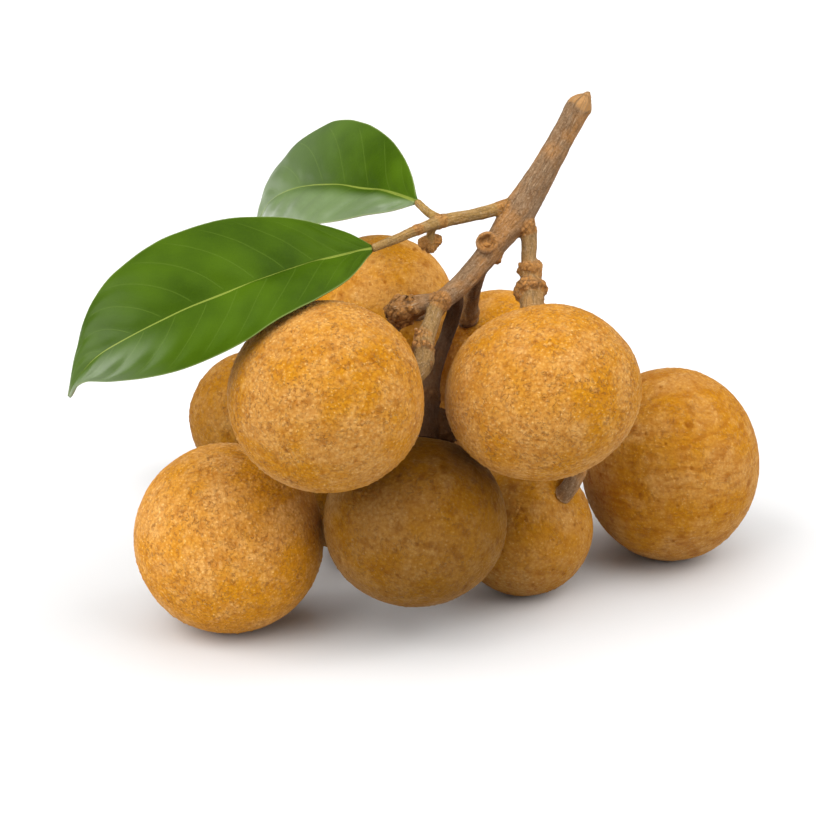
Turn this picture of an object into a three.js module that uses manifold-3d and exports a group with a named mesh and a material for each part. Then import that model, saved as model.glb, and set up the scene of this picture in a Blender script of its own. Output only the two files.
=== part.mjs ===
// A bunch of longans at rest on a table: ten round fruits on one woody, forked stem that still
// carries two leathery leaves. Millimetres, +Z up. The origin is on the table, under the middle
// of the bunch's outer box. -Y is the side with the open fork and the upper face of the leaves.
import * as THREE from "three";
import { mergeVertices } from "three/addons/utils/BufferGeometryUtils.js";
import Module from "manifold-3d";

const wasm = await Module();
wasm.setup();

// Space left between a fruit's skin and the stalk that it hangs from.
const STALK_GAP = 0.3;

// Each fruit: its centre, its half-sizes along X, Y and Z, a roll about Y in degrees, and the
// way from the centre to its stalk. Those with rests: true lie on the table.
const FRUITS = {
  fruit_front_left: {
    centre: [-15.9, -33.9, 39.9], half: [13.4, 12.9, 13], stalk: [12.2, 4.4, 1.5],
  },
  fruit_front_right: {
    centre: [13.75, -25.9, 37.8], half: [13.65, 13.4, 12.1], roll: -13, stalk: [-1.7, 6.7, 9.9],
  },
  fruit_top_back: {
    centre: [-9.2, 7, 39.3], half: [11.6, 11.4, 11.5], stalk: [6, -9.2, 2.9],
  },
  fruit_middle: {
    centre: [-3.9, -24.4, 17.9], half: [13.1, 13, 12.3], stalk: [1.9, 5.3, 11],
  },
  fruit_behind: {
    centre: [9.6, 18, 25], half: [13.3, 12.9, 13.6], stalk: [-4.4, -4.9, 10],
  },
  fruit_inner: {
    centre: [-13.5, 4.5, 12.6], half: [11.3, 11.2, 11.4], stalk: [-0.3, -3.2, 11],
  },
  fruit_low_left: {
    centre: [-30.7, -20.9, 13.65], half: [13.7, 13.6, 13.85], stalk: [6.2, 4.1, 11.6], rests: true,
  },
  fruit_low_right: {
    centre: [35.7, 4.8, 14.9], half: [13.7, 14.6, 15.1], stalk: [-11.7, -5.8, 14.5], rests: true,
  },
  fruit_low_back: {
    centre: [-30.2, 35.5, 11.3], half: [11.6, 11.4, 11.5], stalk: [6.3, -6.5, 8.5], rests: true,
  },
  fruit_small: {
    centre: [12.5, -8.9, 10.1], half: [10.3, 10.2, 10.3], stalk: [5.8, -4.6, 6.9], rests: true,
  },
};
const FRUIT_DETAIL = 5; // subdivisions of the icosahedron that each fruit starts from
const DIMPLE_DEPTH = 0.05; // of the radius, round the stalk
const DIMPLE_ANGLE = 0.32; // radians from the stalk to where the dimple fades
const UNEVENNESS = 0.009; // of the radius, in broad swellings

// The stem's rods: points along the middle, each with the radius there.
const RODS = {
  trunk: [
    [19.7, -6, 74.3, 1.6], [19.2, -6.2, 73.4, 1.85], [17.5, -7, 70.4, 1.75],
    [15, -8, 65.9, 1.85], [12.7, -9.5, 62.3, 2.2], [10.4, -11, 58.9, 2.5],
  ],
  splinter: [[19.3, -6, 73.4, 1.2], [20.2, -5.7, 74.7, 0.8], [20.6, -5.5, 75.7, 0.35]],
  branch: [
    [10.8, -10.8, 59.4, 2.3], [7.9, -13, 56, 1.8], [5.1, -16, 53.2, 1.55],
    [2.1, -18.5, 50.7, 1.45], [-0.7, -21, 49.1, 1.35], [-1.5, -21.6, 48.7, 0.9],
  ],
  leaf_twig: [
    [10.5, -10.5, 60.6, 1.1], [7.7, -11.5, 60.1, 0.9], [3.8, -13.5, 59.6, 0.85],
    [-0.4, -16, 59.4, 0.9], [-4.6, -19, 58.6, 0.7], [-9.5, -21.8, 57.3, 0.55],
  ],
  far_leafstalk: [[-0.4, -16, 59.6, 0.7], [-2.1, -14.5, 60.4, 0.6], [-3.4, -12.3, 61.1, 0.55]],
  bud_stalk: [[-1.6, -16.6, 59, 0.55], [-1.8, -16.2, 57, 0.6], [-1.7, -16, 56, 0.5]],
  front_left_stalk: [
    [-0.7, -21, 49.2, 1.15], [-1.7, -23.5, 47.2, 1.15], [-2.6, -25.8, 45.2, 1.3],
    [-3, -28.2, 42.7, 1.5], [-4.6, -29.7, 41.5, 1.8],
  ],
  bract_stub: [[-0.5, -21, 49.2, 1.2], [-3.2, -20.5, 48.9, 1.25], [-5.6, -20, 47.6, 1.5]],
  front_right_stalk: [
    [10.8, -10.6, 59, 1.5], [12.2, -12, 56.4, 1.15], [12.2, -13.6, 53.2, 1.05],
    [12.4, -15.3, 50.4, 1.3], [12.5, -17.2, 48.6, 1.9], [12.5, -19.2, 46.6, 2.1],
  ],
  behind_stalk: [
    [5, -15.4, 52.4, 1.2], [4.4, -12, 48.6, 1.15], [4, -7, 43.4, 1.2], [4.4, 1, 40.4, 0.95],
    [4.9, 7.5, 38.6, 1], [4.7, 12.4, 36.2, 1.4], [5.1, 13.6, 34.6, 1.5],
  ],
  middle_stalk: [
    [1.8, -17.6, 50.4, 1.1], [1.9, -13.6, 46.2, 1.05], [0.7, -12.6, 41.6, 1.05],
    [-1.2, -14.2, 36.8, 1.2], [-2, -16.8, 32.6, 1.6], [-1.9, -19.3, 28.3, 1.8],
  ],
  top_back_stalk: [
    [-0.3, -20.6, 48.5, 1], [-0.8, -12, 45, 0.9], [-1.7, -6, 43.1, 1], [-3.8, -1.3, 41.8, 1.4],
  ],
  right_branch: [
    [12.3, -15.2, 50.4, 1.3], [13.3, -8, 44.6, 1.15], [16.4, -6, 35.4, 1.15],
    [19.4, -8, 26.4, 1.1], [20.2, -11.1, 21, 1.2], [18.8, -12.9, 18.2, 1.3],
    [17.5, -12.8, 16.6, 1.3],
  ],
  low_right_stalk: [
    [15.9, -6.1, 36.6, 1.1], [19.6, -3.6, 32.4, 1], [24, -1, 29.2, 1.1],
    [27.2, 0.6, 25.6, 1.5], [28.2, 1.1, 24, 1.5],
  ],
  left_branch: [
    [-3, -20.4, 48.6, 1.1], [-7.6, -14.4, 43, 1.1], [-12, -10.6, 35.4, 1.1],
    [-14.9, -9.2, 30, 1.2], [-20, -12.5, 26.9, 1.1], [-24.4, -16.8, 25.2, 1.4],
    [-25.2, -17.3, 23.8, 1.5],
  ],
  low_back_stalk: [
    [-14.6, -9.6, 30.6, 1.1], [-17.8, 4, 26.2, 0.95], [-21.2, 17, 22.6, 0.95],
    [-23.9, 28.4, 19.8, 1.3], [-24.8, 30.2, 18.4, 1.5],
  ],
  inner_stalk: [
    [-14.8, -9.4, 30.4, 1.1], [-14.6, -5.6, 28.2, 0.95], [-14.2, -1.6, 25.6, 1.2],
    [-13.8, 1.6, 22.5, 1.5],
  ],
};
const ROD_SIDES = 8;
const ROD_STEP = 2.5; // along the stem between two rings
const FLUTES = 3; // low ridges round the bark, and how far they stand out and wind
const FLUTE_DEPTH = 0.04;
const FLUTE_WIND = 5;

// Knots and scars on the bark: centre, radius, and how many smaller knobs stand on each.
const KNOTS = [
  [8.6, -11.4, 60.2, 1.15, 2], // where the leaf twig leaves the fork
  [11.7, -11.8, 57.6, 1.45, 3], // where the right-hand stalk leaves the fork
  [7.2, -14, 54.1, 1.2, 1], // under the round scar
  [12.5, -14, 51.6, 1.6, 4], // two swollen rings above the front right fruit
  [12.3, -15.6, 49.4, 1.95, 6],
  [-2.9, -25.4, 45.5, 1.3, 4], // half-way down the front left stalk
  [-5.9, -20, 47.5, 1.9, 11], // scaly end of the short stub
  [-3.6, -20.2, 48.3, 1.2, 3],
  [-0.5, -21.2, 49.3, 1.45, 1], // the branch's own fork
  [4, -7, 43.4, 1.5, 3], // on the stalks behind
  [-3.7, -18.4, 59, 0.8, 0], // where leaves have dropped from the twig
  [-0.4, -15.9, 59.5, 0.95, 0],
  [19.9, -11.3, 20.3, 1.5, 4], // above the small fruit
  [-14.9, -9.2, 30, 1.4, 2],
  [16.2, -6.1, 36, 1.4, 2],
  [-1.9, -16.2, 33.4, 1.7, 5], // above the middle fruit
];
const KNOB_SIZE = 0.42; // of the knot's radius
const BUD_LOBES = [[-2.6, -16.1, 56.4, 0.95], [-0.9, -15.7, 56.6, 0.85], [-1.7, -16, 55.7, 0.8]];
const SCAR = { at: [6.3, -15.3, 55.9], faces: [-0.1, -0.86, 0.5], radius: 1.6, height: 1.5 };

// Each leaf: its midrib and the two edges of its blade, from the leafstalk to the tip.
const LEAVES = {
  leaf_near: {
    midrib: [
      [-10, -22.2, 57.2], [-17.5, -27, 56.7], [-26, -32.5, 55.2], [-33.9, -36.2, 53],
      [-40.6, -38, 50.1], [-45.1, -38.5, 47.6], [-47.9, -37.8, 44.7], [-50, -36.7, 41],
    ],
    upper: [
      [-10, -21.9, 57.7], [-14.1, -21.5, 59.7], [-19.6, -22.5, 61.4], [-25.1, -24, 62.3],
      [-29.9, -25.5, 62.2], [-35.2, -27.5, 61.3], [-40.1, -30, 59.3], [-44.1, -32, 56.5],
      [-46.8, -33.5, 53], [-48.4, -35, 49.3], [-49.3, -36, 45.6], [-50.2, -36.5, 41.1],
    ],
    lower: [
      [-9.9, -22.6, 56.8], [-12.9, -29.4, 55], [-16.7, -34, 53.8], [-21.8, -37.8, 52.2],
      [-26.1, -39.5, 49.7], [-30.3, -40.6, 47.8], [-34.7, -41.2, 46.2], [-39.4, -41.2, 45.1],
      [-43.9, -40.5, 44.4], [-47.4, -39, 43.8], [-49, -37.9, 42.6], [-49.8, -36.9, 40.9],
    ],
  },
  leaf_far: {
    midrib: [
      [-3.8, -11.8, 61.3], [-7.5, -6, 61], [-11.3, 0, 60], [-15.3, 6, 59], [-19.5, 12, 57.4],
      [-23.9, 18, 54.8], [-27.4, 23, 50.8], [-29, 26, 45.7],
    ],
    upper: [
      [-3.7, -11.7, 61.9], [-4.3, -7, 63.7], [-5.6, -1, 65.2], [-7.8, 5, 66.6],
      [-11.2, 11, 67.2], [-15.2, 16, 66.6], [-19.7, 20, 63.9], [-23.8, 23, 59.6],
      [-27, 25, 54.6], [-28.6, 26, 49.6], [-29, 26.2, 45.8],
    ],
    lower: [
      [-3.9, -11.9, 60.8], [-7.5, -9, 59], [-10.9, -6, 57.7], [-14.7, -2, 55.9],
      [-18.2, 2, 54.2], [-21.9, 8, 51.8], [-26, 17, 48.4], [-29.2, 25.8, 45.6],
    ],
  },
};
const LEAF_THICKNESS = 0.75;
const LEAF_LENGTH_STEPS = 26;
const LEAF_HALF_STEPS = 4; // from the midrib to one edge
const LEAF_BULGE = 0.09; // rise of each half blade between midrib and edge, of its width

const SKIN = new THREE.MeshStandardMaterial({ color: 0xb9812f, roughness: 0.78, metalness: 0 });
const BARK = new THREE.MeshStandardMaterial({ color: 0x8f6b47, roughness: 0.85, metalness: 0 });
const LEAF = new THREE.MeshStandardMaterial({ color: 0x3b7a1f, roughness: 0.42, metalness: 0 });

// Repeatable draws between 0 and 1.
function seeded(seed) {
  let state = seed;
  return () => {
    state = (state * 1664525 + 1013904223) % 4294967296;
    return state / 4294967296;
  };
}

// A geometry reduced to shared points and triangles.
function welded(geometry) {
  const bare = geometry.clone();
  bare.deleteAttribute("normal");
  bare.deleteAttribute("uv");
  return mergeVertices(bare, 1e-4);
}

// Moves every point of a geometry by a function that changes the vector it is given.
function reshape(geometry, change) {
  const position = geometry.getAttribute("position");
  const point = new THREE.Vector3();
  for (let i = 0; i < position.count; i += 1) {
    point.fromBufferAttribute(position, i);
    change(point, i);
    position.setXYZ(i, point.x, point.y, point.z);
  }
  return geometry;
}

function toSolid(geometry) {
  const { index, attributes } = welded(geometry);
  return new wasm.Manifold(new wasm.Mesh({
    numProp: 3,
    vertProperties: new Float32Array(attributes.position.array),
    triVerts: new Uint32Array(index.array),
  }));
}

function toGeometry(solid) {
  const mesh = solid.getMesh();
  const geometry = new THREE.BufferGeometry();
  geometry.setAttribute("position", new THREE.BufferAttribute(mesh.vertProperties, 3));
  geometry.setIndex(new THREE.BufferAttribute(mesh.triVerts, 1));
  geometry.computeVertexNormals();
  return geometry;
}

// The skin of one fruit about its own centre, grown outwards by a margin.
function fruitShape({ centre, half, roll = 0, stalk }, margin = 0) {
  const toStalk = new THREE.Vector3(...stalk).normalize();
  const phase = centre[0] + centre[2];
  const shape = welded(new THREE.IcosahedronGeometry(1, FRUIT_DETAIL));
  const turn = new THREE.Matrix4().makeRotationY(THREE.MathUtils.degToRad(roll));
  return reshape(shape, (point) => {
    const fromStalk = point.angleTo(toStalk) / DIMPLE_ANGLE;
    const dimple = DIMPLE_DEPTH * Math.exp(-fromStalk * fromStalk);
    const swelling = Math.sin(2.3 * point.x + phase) * Math.cos(2.9 * point.y - phase)
      + Math.sin(2.6 * point.z + 2 * phase);
    const scale = 1 - dimple + 0.5 * UNEVENNESS * swelling;
    point.set(
      point.x * (half[0] * scale + margin),
      point.y * (half[1] * scale + margin),
      point.z * (half[2] * scale + margin),
    );
    point.applyMatrix4(turn);
  });
}

// A fruit as it lies: those on the table are pressed flat over a small spot.
function fruitMesh(name, fruit) {
  let geometry = fruitShape(fruit);
  if (fruit.rests) {
    const [x, , z] = fruit.half;
    const table = new THREE.BoxGeometry(4 * x, 4 * x, z).translate(0, 0, -fruit.centre[2] - z / 2);
    geometry = toGeometry(toSolid(geometry).subtract(toSolid(table)));
  }
  geometry.computeVertexNormals();
  const mesh = new THREE.Mesh(geometry, SKIN);
  mesh.name = name;
  mesh.position.set(...fruit.centre);
  return mesh;
}

// A tapered round rod that follows a smooth curve through its points.
function rodShape(stops) {
  const curve = new THREE.CatmullRomCurve3(stops.map(([x, y, z]) => new THREE.Vector3(x, y, z)));
  const steps = Math.ceil(curve.getLength() / ROD_STEP);
  const frames = curve.computeFrenetFrames(steps);
  const rod = new THREE.CylinderGeometry(1, 1, 1, ROD_SIDES, steps);
  return reshape(welded(rod), (point) => {
    const along = 0.5 - point.y;
    const ring = Math.round(along * steps);
    const place = curve.getUtoTmapping(along) * (stops.length - 1);
    const before = Math.min(Math.floor(place), stops.length - 2);
    const radius = THREE.MathUtils.lerp(stops[before][3], stops[before + 1][3], place - before);
    const around = Math.atan2(point.z, point.x);
    const flute = 1 + FLUTE_DEPTH * Math.sin(FLUTES * around + FLUTE_WIND * along);
    const across = point.x;
    const up = point.z;
    point.copy(curve.getPointAt(along));
    point.addScaledVector(frames.normals[ring], across * radius * flute);
    point.addScaledVector(frames.binormals[ring], up * radius * flute);
  });
}

function lumpShape(x, y, z, radius, detail = 1) {
  return new THREE.IcosahedronGeometry(radius, detail).translate(x, y, z);
}

// A knot: one lump with smaller knobs scattered over it.
function knotShapes([x, y, z, radius, knobs], draw) {
  const shapes = [lumpShape(x, y, z, radius)];
  for (let i = 0; i < knobs; i += 1) {
    const way = new THREE.Vector3().setFromSphericalCoords(
      radius * 0.85, Math.acos(1 - 2 * draw()), 2 * Math.PI * draw(),
    );
    const size = radius * KNOB_SIZE * (0.7 + 0.6 * draw());
    shapes.push(lumpShape(x + way.x, y + way.y, z + way.z, size, 0));
  }
  return shapes;
}

// The round scar of a lost side shoot: a short post with a raised rim and a sunken middle.
function scarShape({ at, faces, radius, height }) {
  const profile = [
    [0, 0], [0.75, 0], [0.8, 0.6], [1, 0.75], [1, 0.95], [0.8, 1], [0.62, 0.86], [0, 0.82],
  ].map(([out, up]) => new THREE.Vector2(out * radius, up * height));
  const turn = new THREE.Quaternion().setFromUnitVectors(
    new THREE.Vector3(0, 1, 0), new THREE.Vector3(...faces).normalize(),
  );
  return new THREE.LatheGeometry(profile, 14).applyQuaternion(turn).translate(...at);
}

// The whole woody stem as one body, trimmed clear of the fruits that hang from it.
function stemMesh() {
  const draw = seeded(11);
  const shapes = [
    ...Object.values(RODS).map(rodShape),
    ...KNOTS.flatMap((knot) => knotShapes(knot, draw)),
    ...BUD_LOBES.map((lobe) => lumpShape(...lobe)),
    scarShape(SCAR),
  ];
  let stem = toSolid(shapes[0]);
  for (const shape of shapes.slice(1)) stem = stem.add(toSolid(shape));
  for (const fruit of Object.values(FRUITS)) {
    stem = stem.subtract(toSolid(fruitShape(fruit, STALK_GAP).translate(...fruit.centre)));
  }
  const mesh = new THREE.Mesh(toGeometry(stem), BARK);
  mesh.name = "stem";
  return mesh;
}

// A leaf blade: two faces of one grid, a blade's thickness apart, closed by a rim.
function leafMesh(name, { midrib, upper, lower }) {
  const curves = [lower, midrib, upper].map(
    (line) => new THREE.CatmullRomCurve3(line.map((p) => new THREE.Vector3(...p))),
  );
  const columns = 2 * LEAF_HALF_STEPS;
  // A point of the blade's middle layer: along from 0 to 1, across from -1 to 1.
  const onBlade = (along, across) => {
    const [low, rib, high] = curves.map((curve) => curve.getPointAt(along));
    const reach = (across < 0 ? low : high).sub(rib);
    const out = Math.abs(across);
    const ahead = curves[1].getTangentAt(along);
    const rise = new THREE.Vector3().crossVectors(reach, ahead).multiplyScalar(Math.sign(-across));
    rib.addScaledVector(reach, out);
    return rib.addScaledVector(rise, LEAF_BULGE * 4 * out * (1 - out));
  };
  const clamped = (value, low, high) => Math.min(high, Math.max(low, value));
  const NEAR = 0.01;
  const faceOut = (along, across) => {
    const forward = onBlade(clamped(along + NEAR, 0, 1), across)
      .sub(onBlade(clamped(along - NEAR, 0, 1), across));
    const sideways = onBlade(along, clamped(across + NEAR, -1, 1))
      .sub(onBlade(along, clamped(across - NEAR, -1, 1)));
    return sideways.cross(forward).normalize();
  };
  const points = [];
  for (const side of [0.5, -0.5]) {
    for (let i = 0; i <= LEAF_LENGTH_STEPS; i += 1) {
      for (let j = 0; j <= columns; j += 1) {
        const along = i / LEAF_LENGTH_STEPS;
        const across = j / LEAF_HALF_STEPS - 1;
        const point = onBlade(along, across)
          .addScaledVector(faceOut(along, across), side * LEAF_THICKNESS);
        points.push(...point.toArray());
      }
    }
  }
  const row = columns + 1;
  const layer = row * (LEAF_LENGTH_STEPS + 1);
  const index = [];
  const square = (a, b, c, d) => index.push(a, b, c, a, c, d);
  for (let i = 0; i < LEAF_LENGTH_STEPS; i += 1) {
    for (let j = 0; j < columns; j += 1) {
      const a = i * row + j;
      index.push(a, a + 1, a + row + 1, a, a + row + 1, a + row);
      const b = a + layer;
      index.push(b, b + row + 1, b + 1, b, b + row, b + row + 1);
    }
    const start = i * row;
    const end = start + columns;
    square(start, start + row, start + row + layer, start + layer);
    square(end + layer, end + row + layer, end + row, end);
  }
  for (let j = 0; j < columns; j += 1) {
    const last = LEAF_LENGTH_STEPS * row + j;
    square(j + layer, j + 1 + layer, j + 1, j);
    square(last, last + 1, last + 1 + layer, last + layer);
  }
  const geometry = new THREE.BufferGeometry();
  geometry.setAttribute("position", new THREE.Float32BufferAttribute(points, 3));
  geometry.setIndex(index);
  geometry.computeVertexNormals();
  const mesh = new THREE.Mesh(geometry, LEAF);
  mesh.name = name;
  return mesh;
}

const fruits = new THREE.Group();
for (const [name, fruit] of Object.entries(FRUITS)) fruits.add(fruitMesh(name, fruit));

const leaves = new THREE.Group();
for (const [name, leaf] of Object.entries(LEAVES)) leaves.add(leafMesh(name, leaf));

const bunch = new THREE.Group();
bunch.add(stemMesh(), leaves, fruits);

export default bunch;
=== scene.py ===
"""Looks of a longan bunch: ten fruits, one forked woody stem and two leathery leaves.

The shapes are worked out in millimetres in the part's own frame, with +Z up and the table at
z = 0, and turned into metres when a mesh is made.
"""
import logging
import math
from dataclasses import dataclass, field
from enum import Enum
from itertools import product
from typing import Any, Iterator, Sequence, Union

import bpy
import numpy as np
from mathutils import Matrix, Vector


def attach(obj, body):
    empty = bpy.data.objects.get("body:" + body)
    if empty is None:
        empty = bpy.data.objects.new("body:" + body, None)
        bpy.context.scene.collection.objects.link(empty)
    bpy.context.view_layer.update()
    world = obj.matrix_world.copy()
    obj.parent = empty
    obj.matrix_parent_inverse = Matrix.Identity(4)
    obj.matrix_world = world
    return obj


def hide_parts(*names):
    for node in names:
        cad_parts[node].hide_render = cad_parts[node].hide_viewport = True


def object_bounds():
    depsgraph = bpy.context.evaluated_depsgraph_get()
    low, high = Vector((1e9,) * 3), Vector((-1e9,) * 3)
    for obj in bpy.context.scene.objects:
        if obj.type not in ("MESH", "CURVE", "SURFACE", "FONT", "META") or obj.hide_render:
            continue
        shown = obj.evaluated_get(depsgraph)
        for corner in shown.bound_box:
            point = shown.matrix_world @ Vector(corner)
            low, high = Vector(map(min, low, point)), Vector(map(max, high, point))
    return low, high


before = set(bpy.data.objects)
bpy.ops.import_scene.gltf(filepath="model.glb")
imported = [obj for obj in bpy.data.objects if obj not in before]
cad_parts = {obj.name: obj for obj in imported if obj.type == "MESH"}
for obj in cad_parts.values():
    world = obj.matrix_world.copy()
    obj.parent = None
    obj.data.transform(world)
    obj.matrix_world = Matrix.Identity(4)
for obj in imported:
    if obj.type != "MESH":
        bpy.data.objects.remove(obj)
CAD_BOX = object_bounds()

LOG = logging.getLogger("longan_bunch")
MM = 0.001
BODY = "root"

Number = Union[int, float]
Triple = tuple[float, float, float]
Colour = tuple[float, float, float]
Ball = tuple[float, float, float, float]
Arrays = dict[str, np.ndarray]


def unit(vectors: np.ndarray) -> np.ndarray:
    """Vectors scaled to length 1 along the last axis."""
    length = np.linalg.norm(vectors, axis=-1, keepdims=True)
    return vectors / np.maximum(length, 1e-12)


def smooth(values: np.ndarray, low: float, high: float) -> np.ndarray:
    """Numbers eased from 0 where values are low to 1 where they are high."""
    t = np.clip((values - low) / (high - low), 0.0, 1.0)
    return t * t * (3.0 - 2.0 * t)


class Noise:
    """Seeded random fields in space, for the relief that the meshes carry."""

    PRIMES = (73856093, 19349663, 83492791)
    LAYER_SHIFT = 17.3

    def __init__(self, seed: int) -> None:
        """Keep the seed. The same seed gives the same fields."""
        self.seed = seed

    def corner(self, cells: np.ndarray, salt: int = 0) -> np.ndarray:
        """Draw one number for each whole-number place.

        Args:
            cells: places, as an (n, 3) array of whole numbers.
            salt: which of several independent draws to make.

        Returns:
            Numbers from 0 to 1.
        """
        mixed = np.full(len(cells), (self.seed * 7919 + salt * 104729) % 2**32, np.uint32)
        for axis, prime in enumerate(self.PRIMES):
            mixed ^= (cells[:, axis].astype(np.int64) * prime).astype(np.uint32)
            mixed ^= mixed >> np.uint32(13)
            mixed *= np.uint32(0x5BD1E995)
            mixed ^= mixed >> np.uint32(15)
        return mixed.astype(np.float64) / 2.0**32

    def value(self, points: np.ndarray, size: float) -> np.ndarray:
        """Smooth noise with swellings about one size apart.

        Args:
            points: places in mm, as an (n, 3) array.
            size: the distance between draws, in mm.

        Returns:
            Numbers from -1 to 1.
        """
        scaled = points / size
        cells = np.floor(scaled).astype(np.int64)
        t = scaled - cells
        t = t * t * t * (t * (t * 6.0 - 15.0) + 10.0)
        total = np.zeros(len(points))
        for step in product((0, 1), repeat=3):
            weight = np.prod(np.where(step, t, 1.0 - t), axis=1)
            total += weight * self.corner(cells + np.array(step))
        return 2.0 * total - 1.0

    def fractal(self, points: np.ndarray, size: float, octaves: int = 3) -> np.ndarray:
        """Several layers of noise, each half the size and strength of the last.

        Args:
            points: places in mm, as an (n, 3) array.
            size: the size of the broadest layer, in mm.
            octaves: how many layers to add.

        Returns:
            Numbers mostly from -1 to 1.
        """
        total = np.zeros(len(points))
        for layer in range(octaves):
            total += self.value(points + self.LAYER_SHIFT * layer, size / 2**layer) / 2**layer
        return total

    def cells(self, points: np.ndarray, size: float) -> tuple[np.ndarray, np.ndarray, np.ndarray]:
        """Scattered seeds and how far each point lies from them.

        Args:
            points: places in mm, as an (n, 3) array.
            size: the mean distance between seeds, in mm.

        Returns:
            The distance to the nearest seed and to the next, as shares of the size, and a
            number from 0 to 1 that belongs to the nearest seed.
        """
        scaled = points / size
        home = np.floor(scaled).astype(np.int64)
        first = np.full(len(points), 9.0)
        second = np.full(len(points), 9.0)
        owner = np.zeros(len(points))
        for step in product((-1, 0, 1), repeat=3):
            cell = home + np.array(step)
            spot = np.stack([self.corner(cell, salt) for salt in (1, 2, 3)], axis=1)
            reach = np.linalg.norm(cell + spot - scaled, axis=1)
            nearer = reach < first
            second = np.where(nearer, first, np.minimum(second, reach))
            owner = np.where(nearer, self.corner(cell, 4), owner)
            first = np.minimum(first, reach)
        return first, second, owner


def seeded_draws(seed: int) -> Iterator[float]:
    """Repeatable draws, as the stem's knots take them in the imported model.

    Args:
        seed: the first state.

    Yields:
        Numbers from 0 to 1.
    """
    state = seed
    while True:
        state = (state * 1664525 + 1013904223) % 4294967296
        yield state / 4294967296


class SmoothCurve:
    """A centripetal Catmull-Rom curve through points, walked by its length."""

    SAMPLES = 600
    NEAR = 0.004

    def __init__(self, points: Sequence[Sequence[float]]) -> None:
        """Lay the curve out.

        Args:
            points: its points in mm; any numbers after the third ride along, such as a radius.
        """
        data = np.array(points, float)
        places = np.linspace(0.0, len(data) - 1.0, self.SAMPLES)
        self.line = np.array([self._at(data[:, :3], place) for place in places])
        steps = np.linalg.norm(np.diff(self.line, axis=0), axis=1)
        self.reached = np.concatenate([[0.0], np.cumsum(steps)])
        self.length = float(self.reached[-1])
        knots = np.arange(len(data))
        self.extra = np.stack(
            [np.interp(places, knots, data[:, k]) for k in range(3, data.shape[1])], axis=1
        ) if data.shape[1] > 3 else np.zeros((self.SAMPLES, 0))

    @staticmethod
    def _at(points: np.ndarray, place: float) -> np.ndarray:
        """One point of the curve.

        Args:
            points: the points that the curve passes through.
            place: how far along, counted in points.

        Returns:
            The point.
        """
        i = min(int(place), len(points) - 2)
        t = place - i
        b, c = points[i], points[i + 1]
        a = points[i - 1] if i > 0 else 2 * b - c
        d = points[i + 2] if i + 2 < len(points) else 2 * c - b
        ab, bc, cd = (max(np.linalg.norm(q - p), 1e-8) ** 0.5 for p, q in ((a, b), (b, c), (c, d)))
        leave = ((b - a) / ab - (c - a) / (ab + bc) + (c - b) / bc) * bc
        arrive = ((c - b) / bc - (d - b) / (bc + cd) + (d - c) / cd) * bc
        square = -3 * b + 3 * c - 2 * leave - arrive
        cube = 2 * b - 2 * c + leave + arrive
        return b + leave * t + square * t * t + cube * t**3

    def at(self, along: np.ndarray) -> np.ndarray:
        """Points in mm at shares, from 0 to 1, of the curve's length."""
        reach = np.asarray(along) * self.length
        return np.stack([np.interp(reach, self.reached, self.line[:, k]) for k in range(3)], axis=-1)

    def extras(self, along: np.ndarray) -> np.ndarray:
        """The riding numbers at shares of the curve's length, as an (n, k) array."""
        reach = np.asarray(along) * self.length
        return np.stack([np.interp(reach, self.reached, column) for column in self.extra.T], axis=-1)

    def tangents(self, along: np.ndarray) -> np.ndarray:
        """Unit directions at shares of the curve's length."""
        ahead, behind = np.clip(along + self.NEAR, 0, 1), np.clip(along - self.NEAR, 0, 1)
        return unit(self.at(ahead) - self.at(behind))


def make_object(
    name: str,
    points: np.ndarray,
    faces: np.ndarray,
    marks: Arrays,
    material: bpy.types.Material,
) -> bpy.types.Object:
    """Make one shaded mesh object.

    Args:
        name: the object's name.
        points: its points in mm, as an (n, 3) array.
        faces: the points of each face, as an (m, 3) or (m, 4) array.
        marks: named numbers for each point, which the material reads.
        material: the finish of the whole object.

    Returns:
        The object, linked to the scene.
    """
    low, high = (np.array(corner) / MM for corner in CAD_BOX)
    points = np.clip(points, low + (0.01, 0.01, 0.0), high - 0.01)
    count, sides = faces.shape
    mesh = bpy.data.meshes.new(name)
    mesh.vertices.add(len(points))
    mesh.vertices.foreach_set("co", (points * MM).astype(np.float32).ravel())
    mesh.loops.add(count * sides)
    mesh.loops.foreach_set("vertex_index", faces.astype(np.int32).ravel())
    mesh.polygons.add(count)
    mesh.polygons.foreach_set("loop_start", np.arange(0, count * sides, sides, dtype=np.int32))
    mesh.polygons.foreach_set("use_smooth", np.ones(count, bool))
    mesh.update(calc_edges=True)
    mesh.validate()
    for mark, values in marks.items():
        kind = "FLOAT_VECTOR" if values.ndim == 2 else "FLOAT"
        slot = "vector" if values.ndim == 2 else "value"
        attribute = mesh.attributes.new(mark, kind, "POINT")
        attribute.data.foreach_set(slot, values.astype(np.float32).ravel())
    mesh.materials.append(material)
    made = bpy.data.objects.new(name, mesh)
    bpy.context.scene.collection.objects.link(made)
    return made


def hand_over(made: bpy.types.Object, node: str) -> bpy.types.Object:
    """Let a piece stand for its CAD node.

    Args:
        made: the piece.
        node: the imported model's node that it replaces.

    Returns:
        The same piece, riding the part's one body.
    """
    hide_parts(node)
    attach(made, BODY)
    return made


def point_normals(points: np.ndarray, faces: np.ndarray) -> np.ndarray:
    """Outward directions at the points of a mesh.

    Args:
        points: an (n, 3) array.
        faces: an (m, 4) array of point numbers.

    Returns:
        Unit vectors, one for each point.
    """
    across = points[faces[:, 2]] - points[faces[:, 0]]
    other = points[faces[:, 3]] - points[faces[:, 1]]
    facing = np.cross(across, other)
    total = np.zeros_like(points)
    for corner in range(4):
        for axis in range(3):
            total[:, axis] += np.bincount(
                faces[:, corner], weights=facing[:, axis], minlength=len(points)
            )
    return unit(total)


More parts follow.
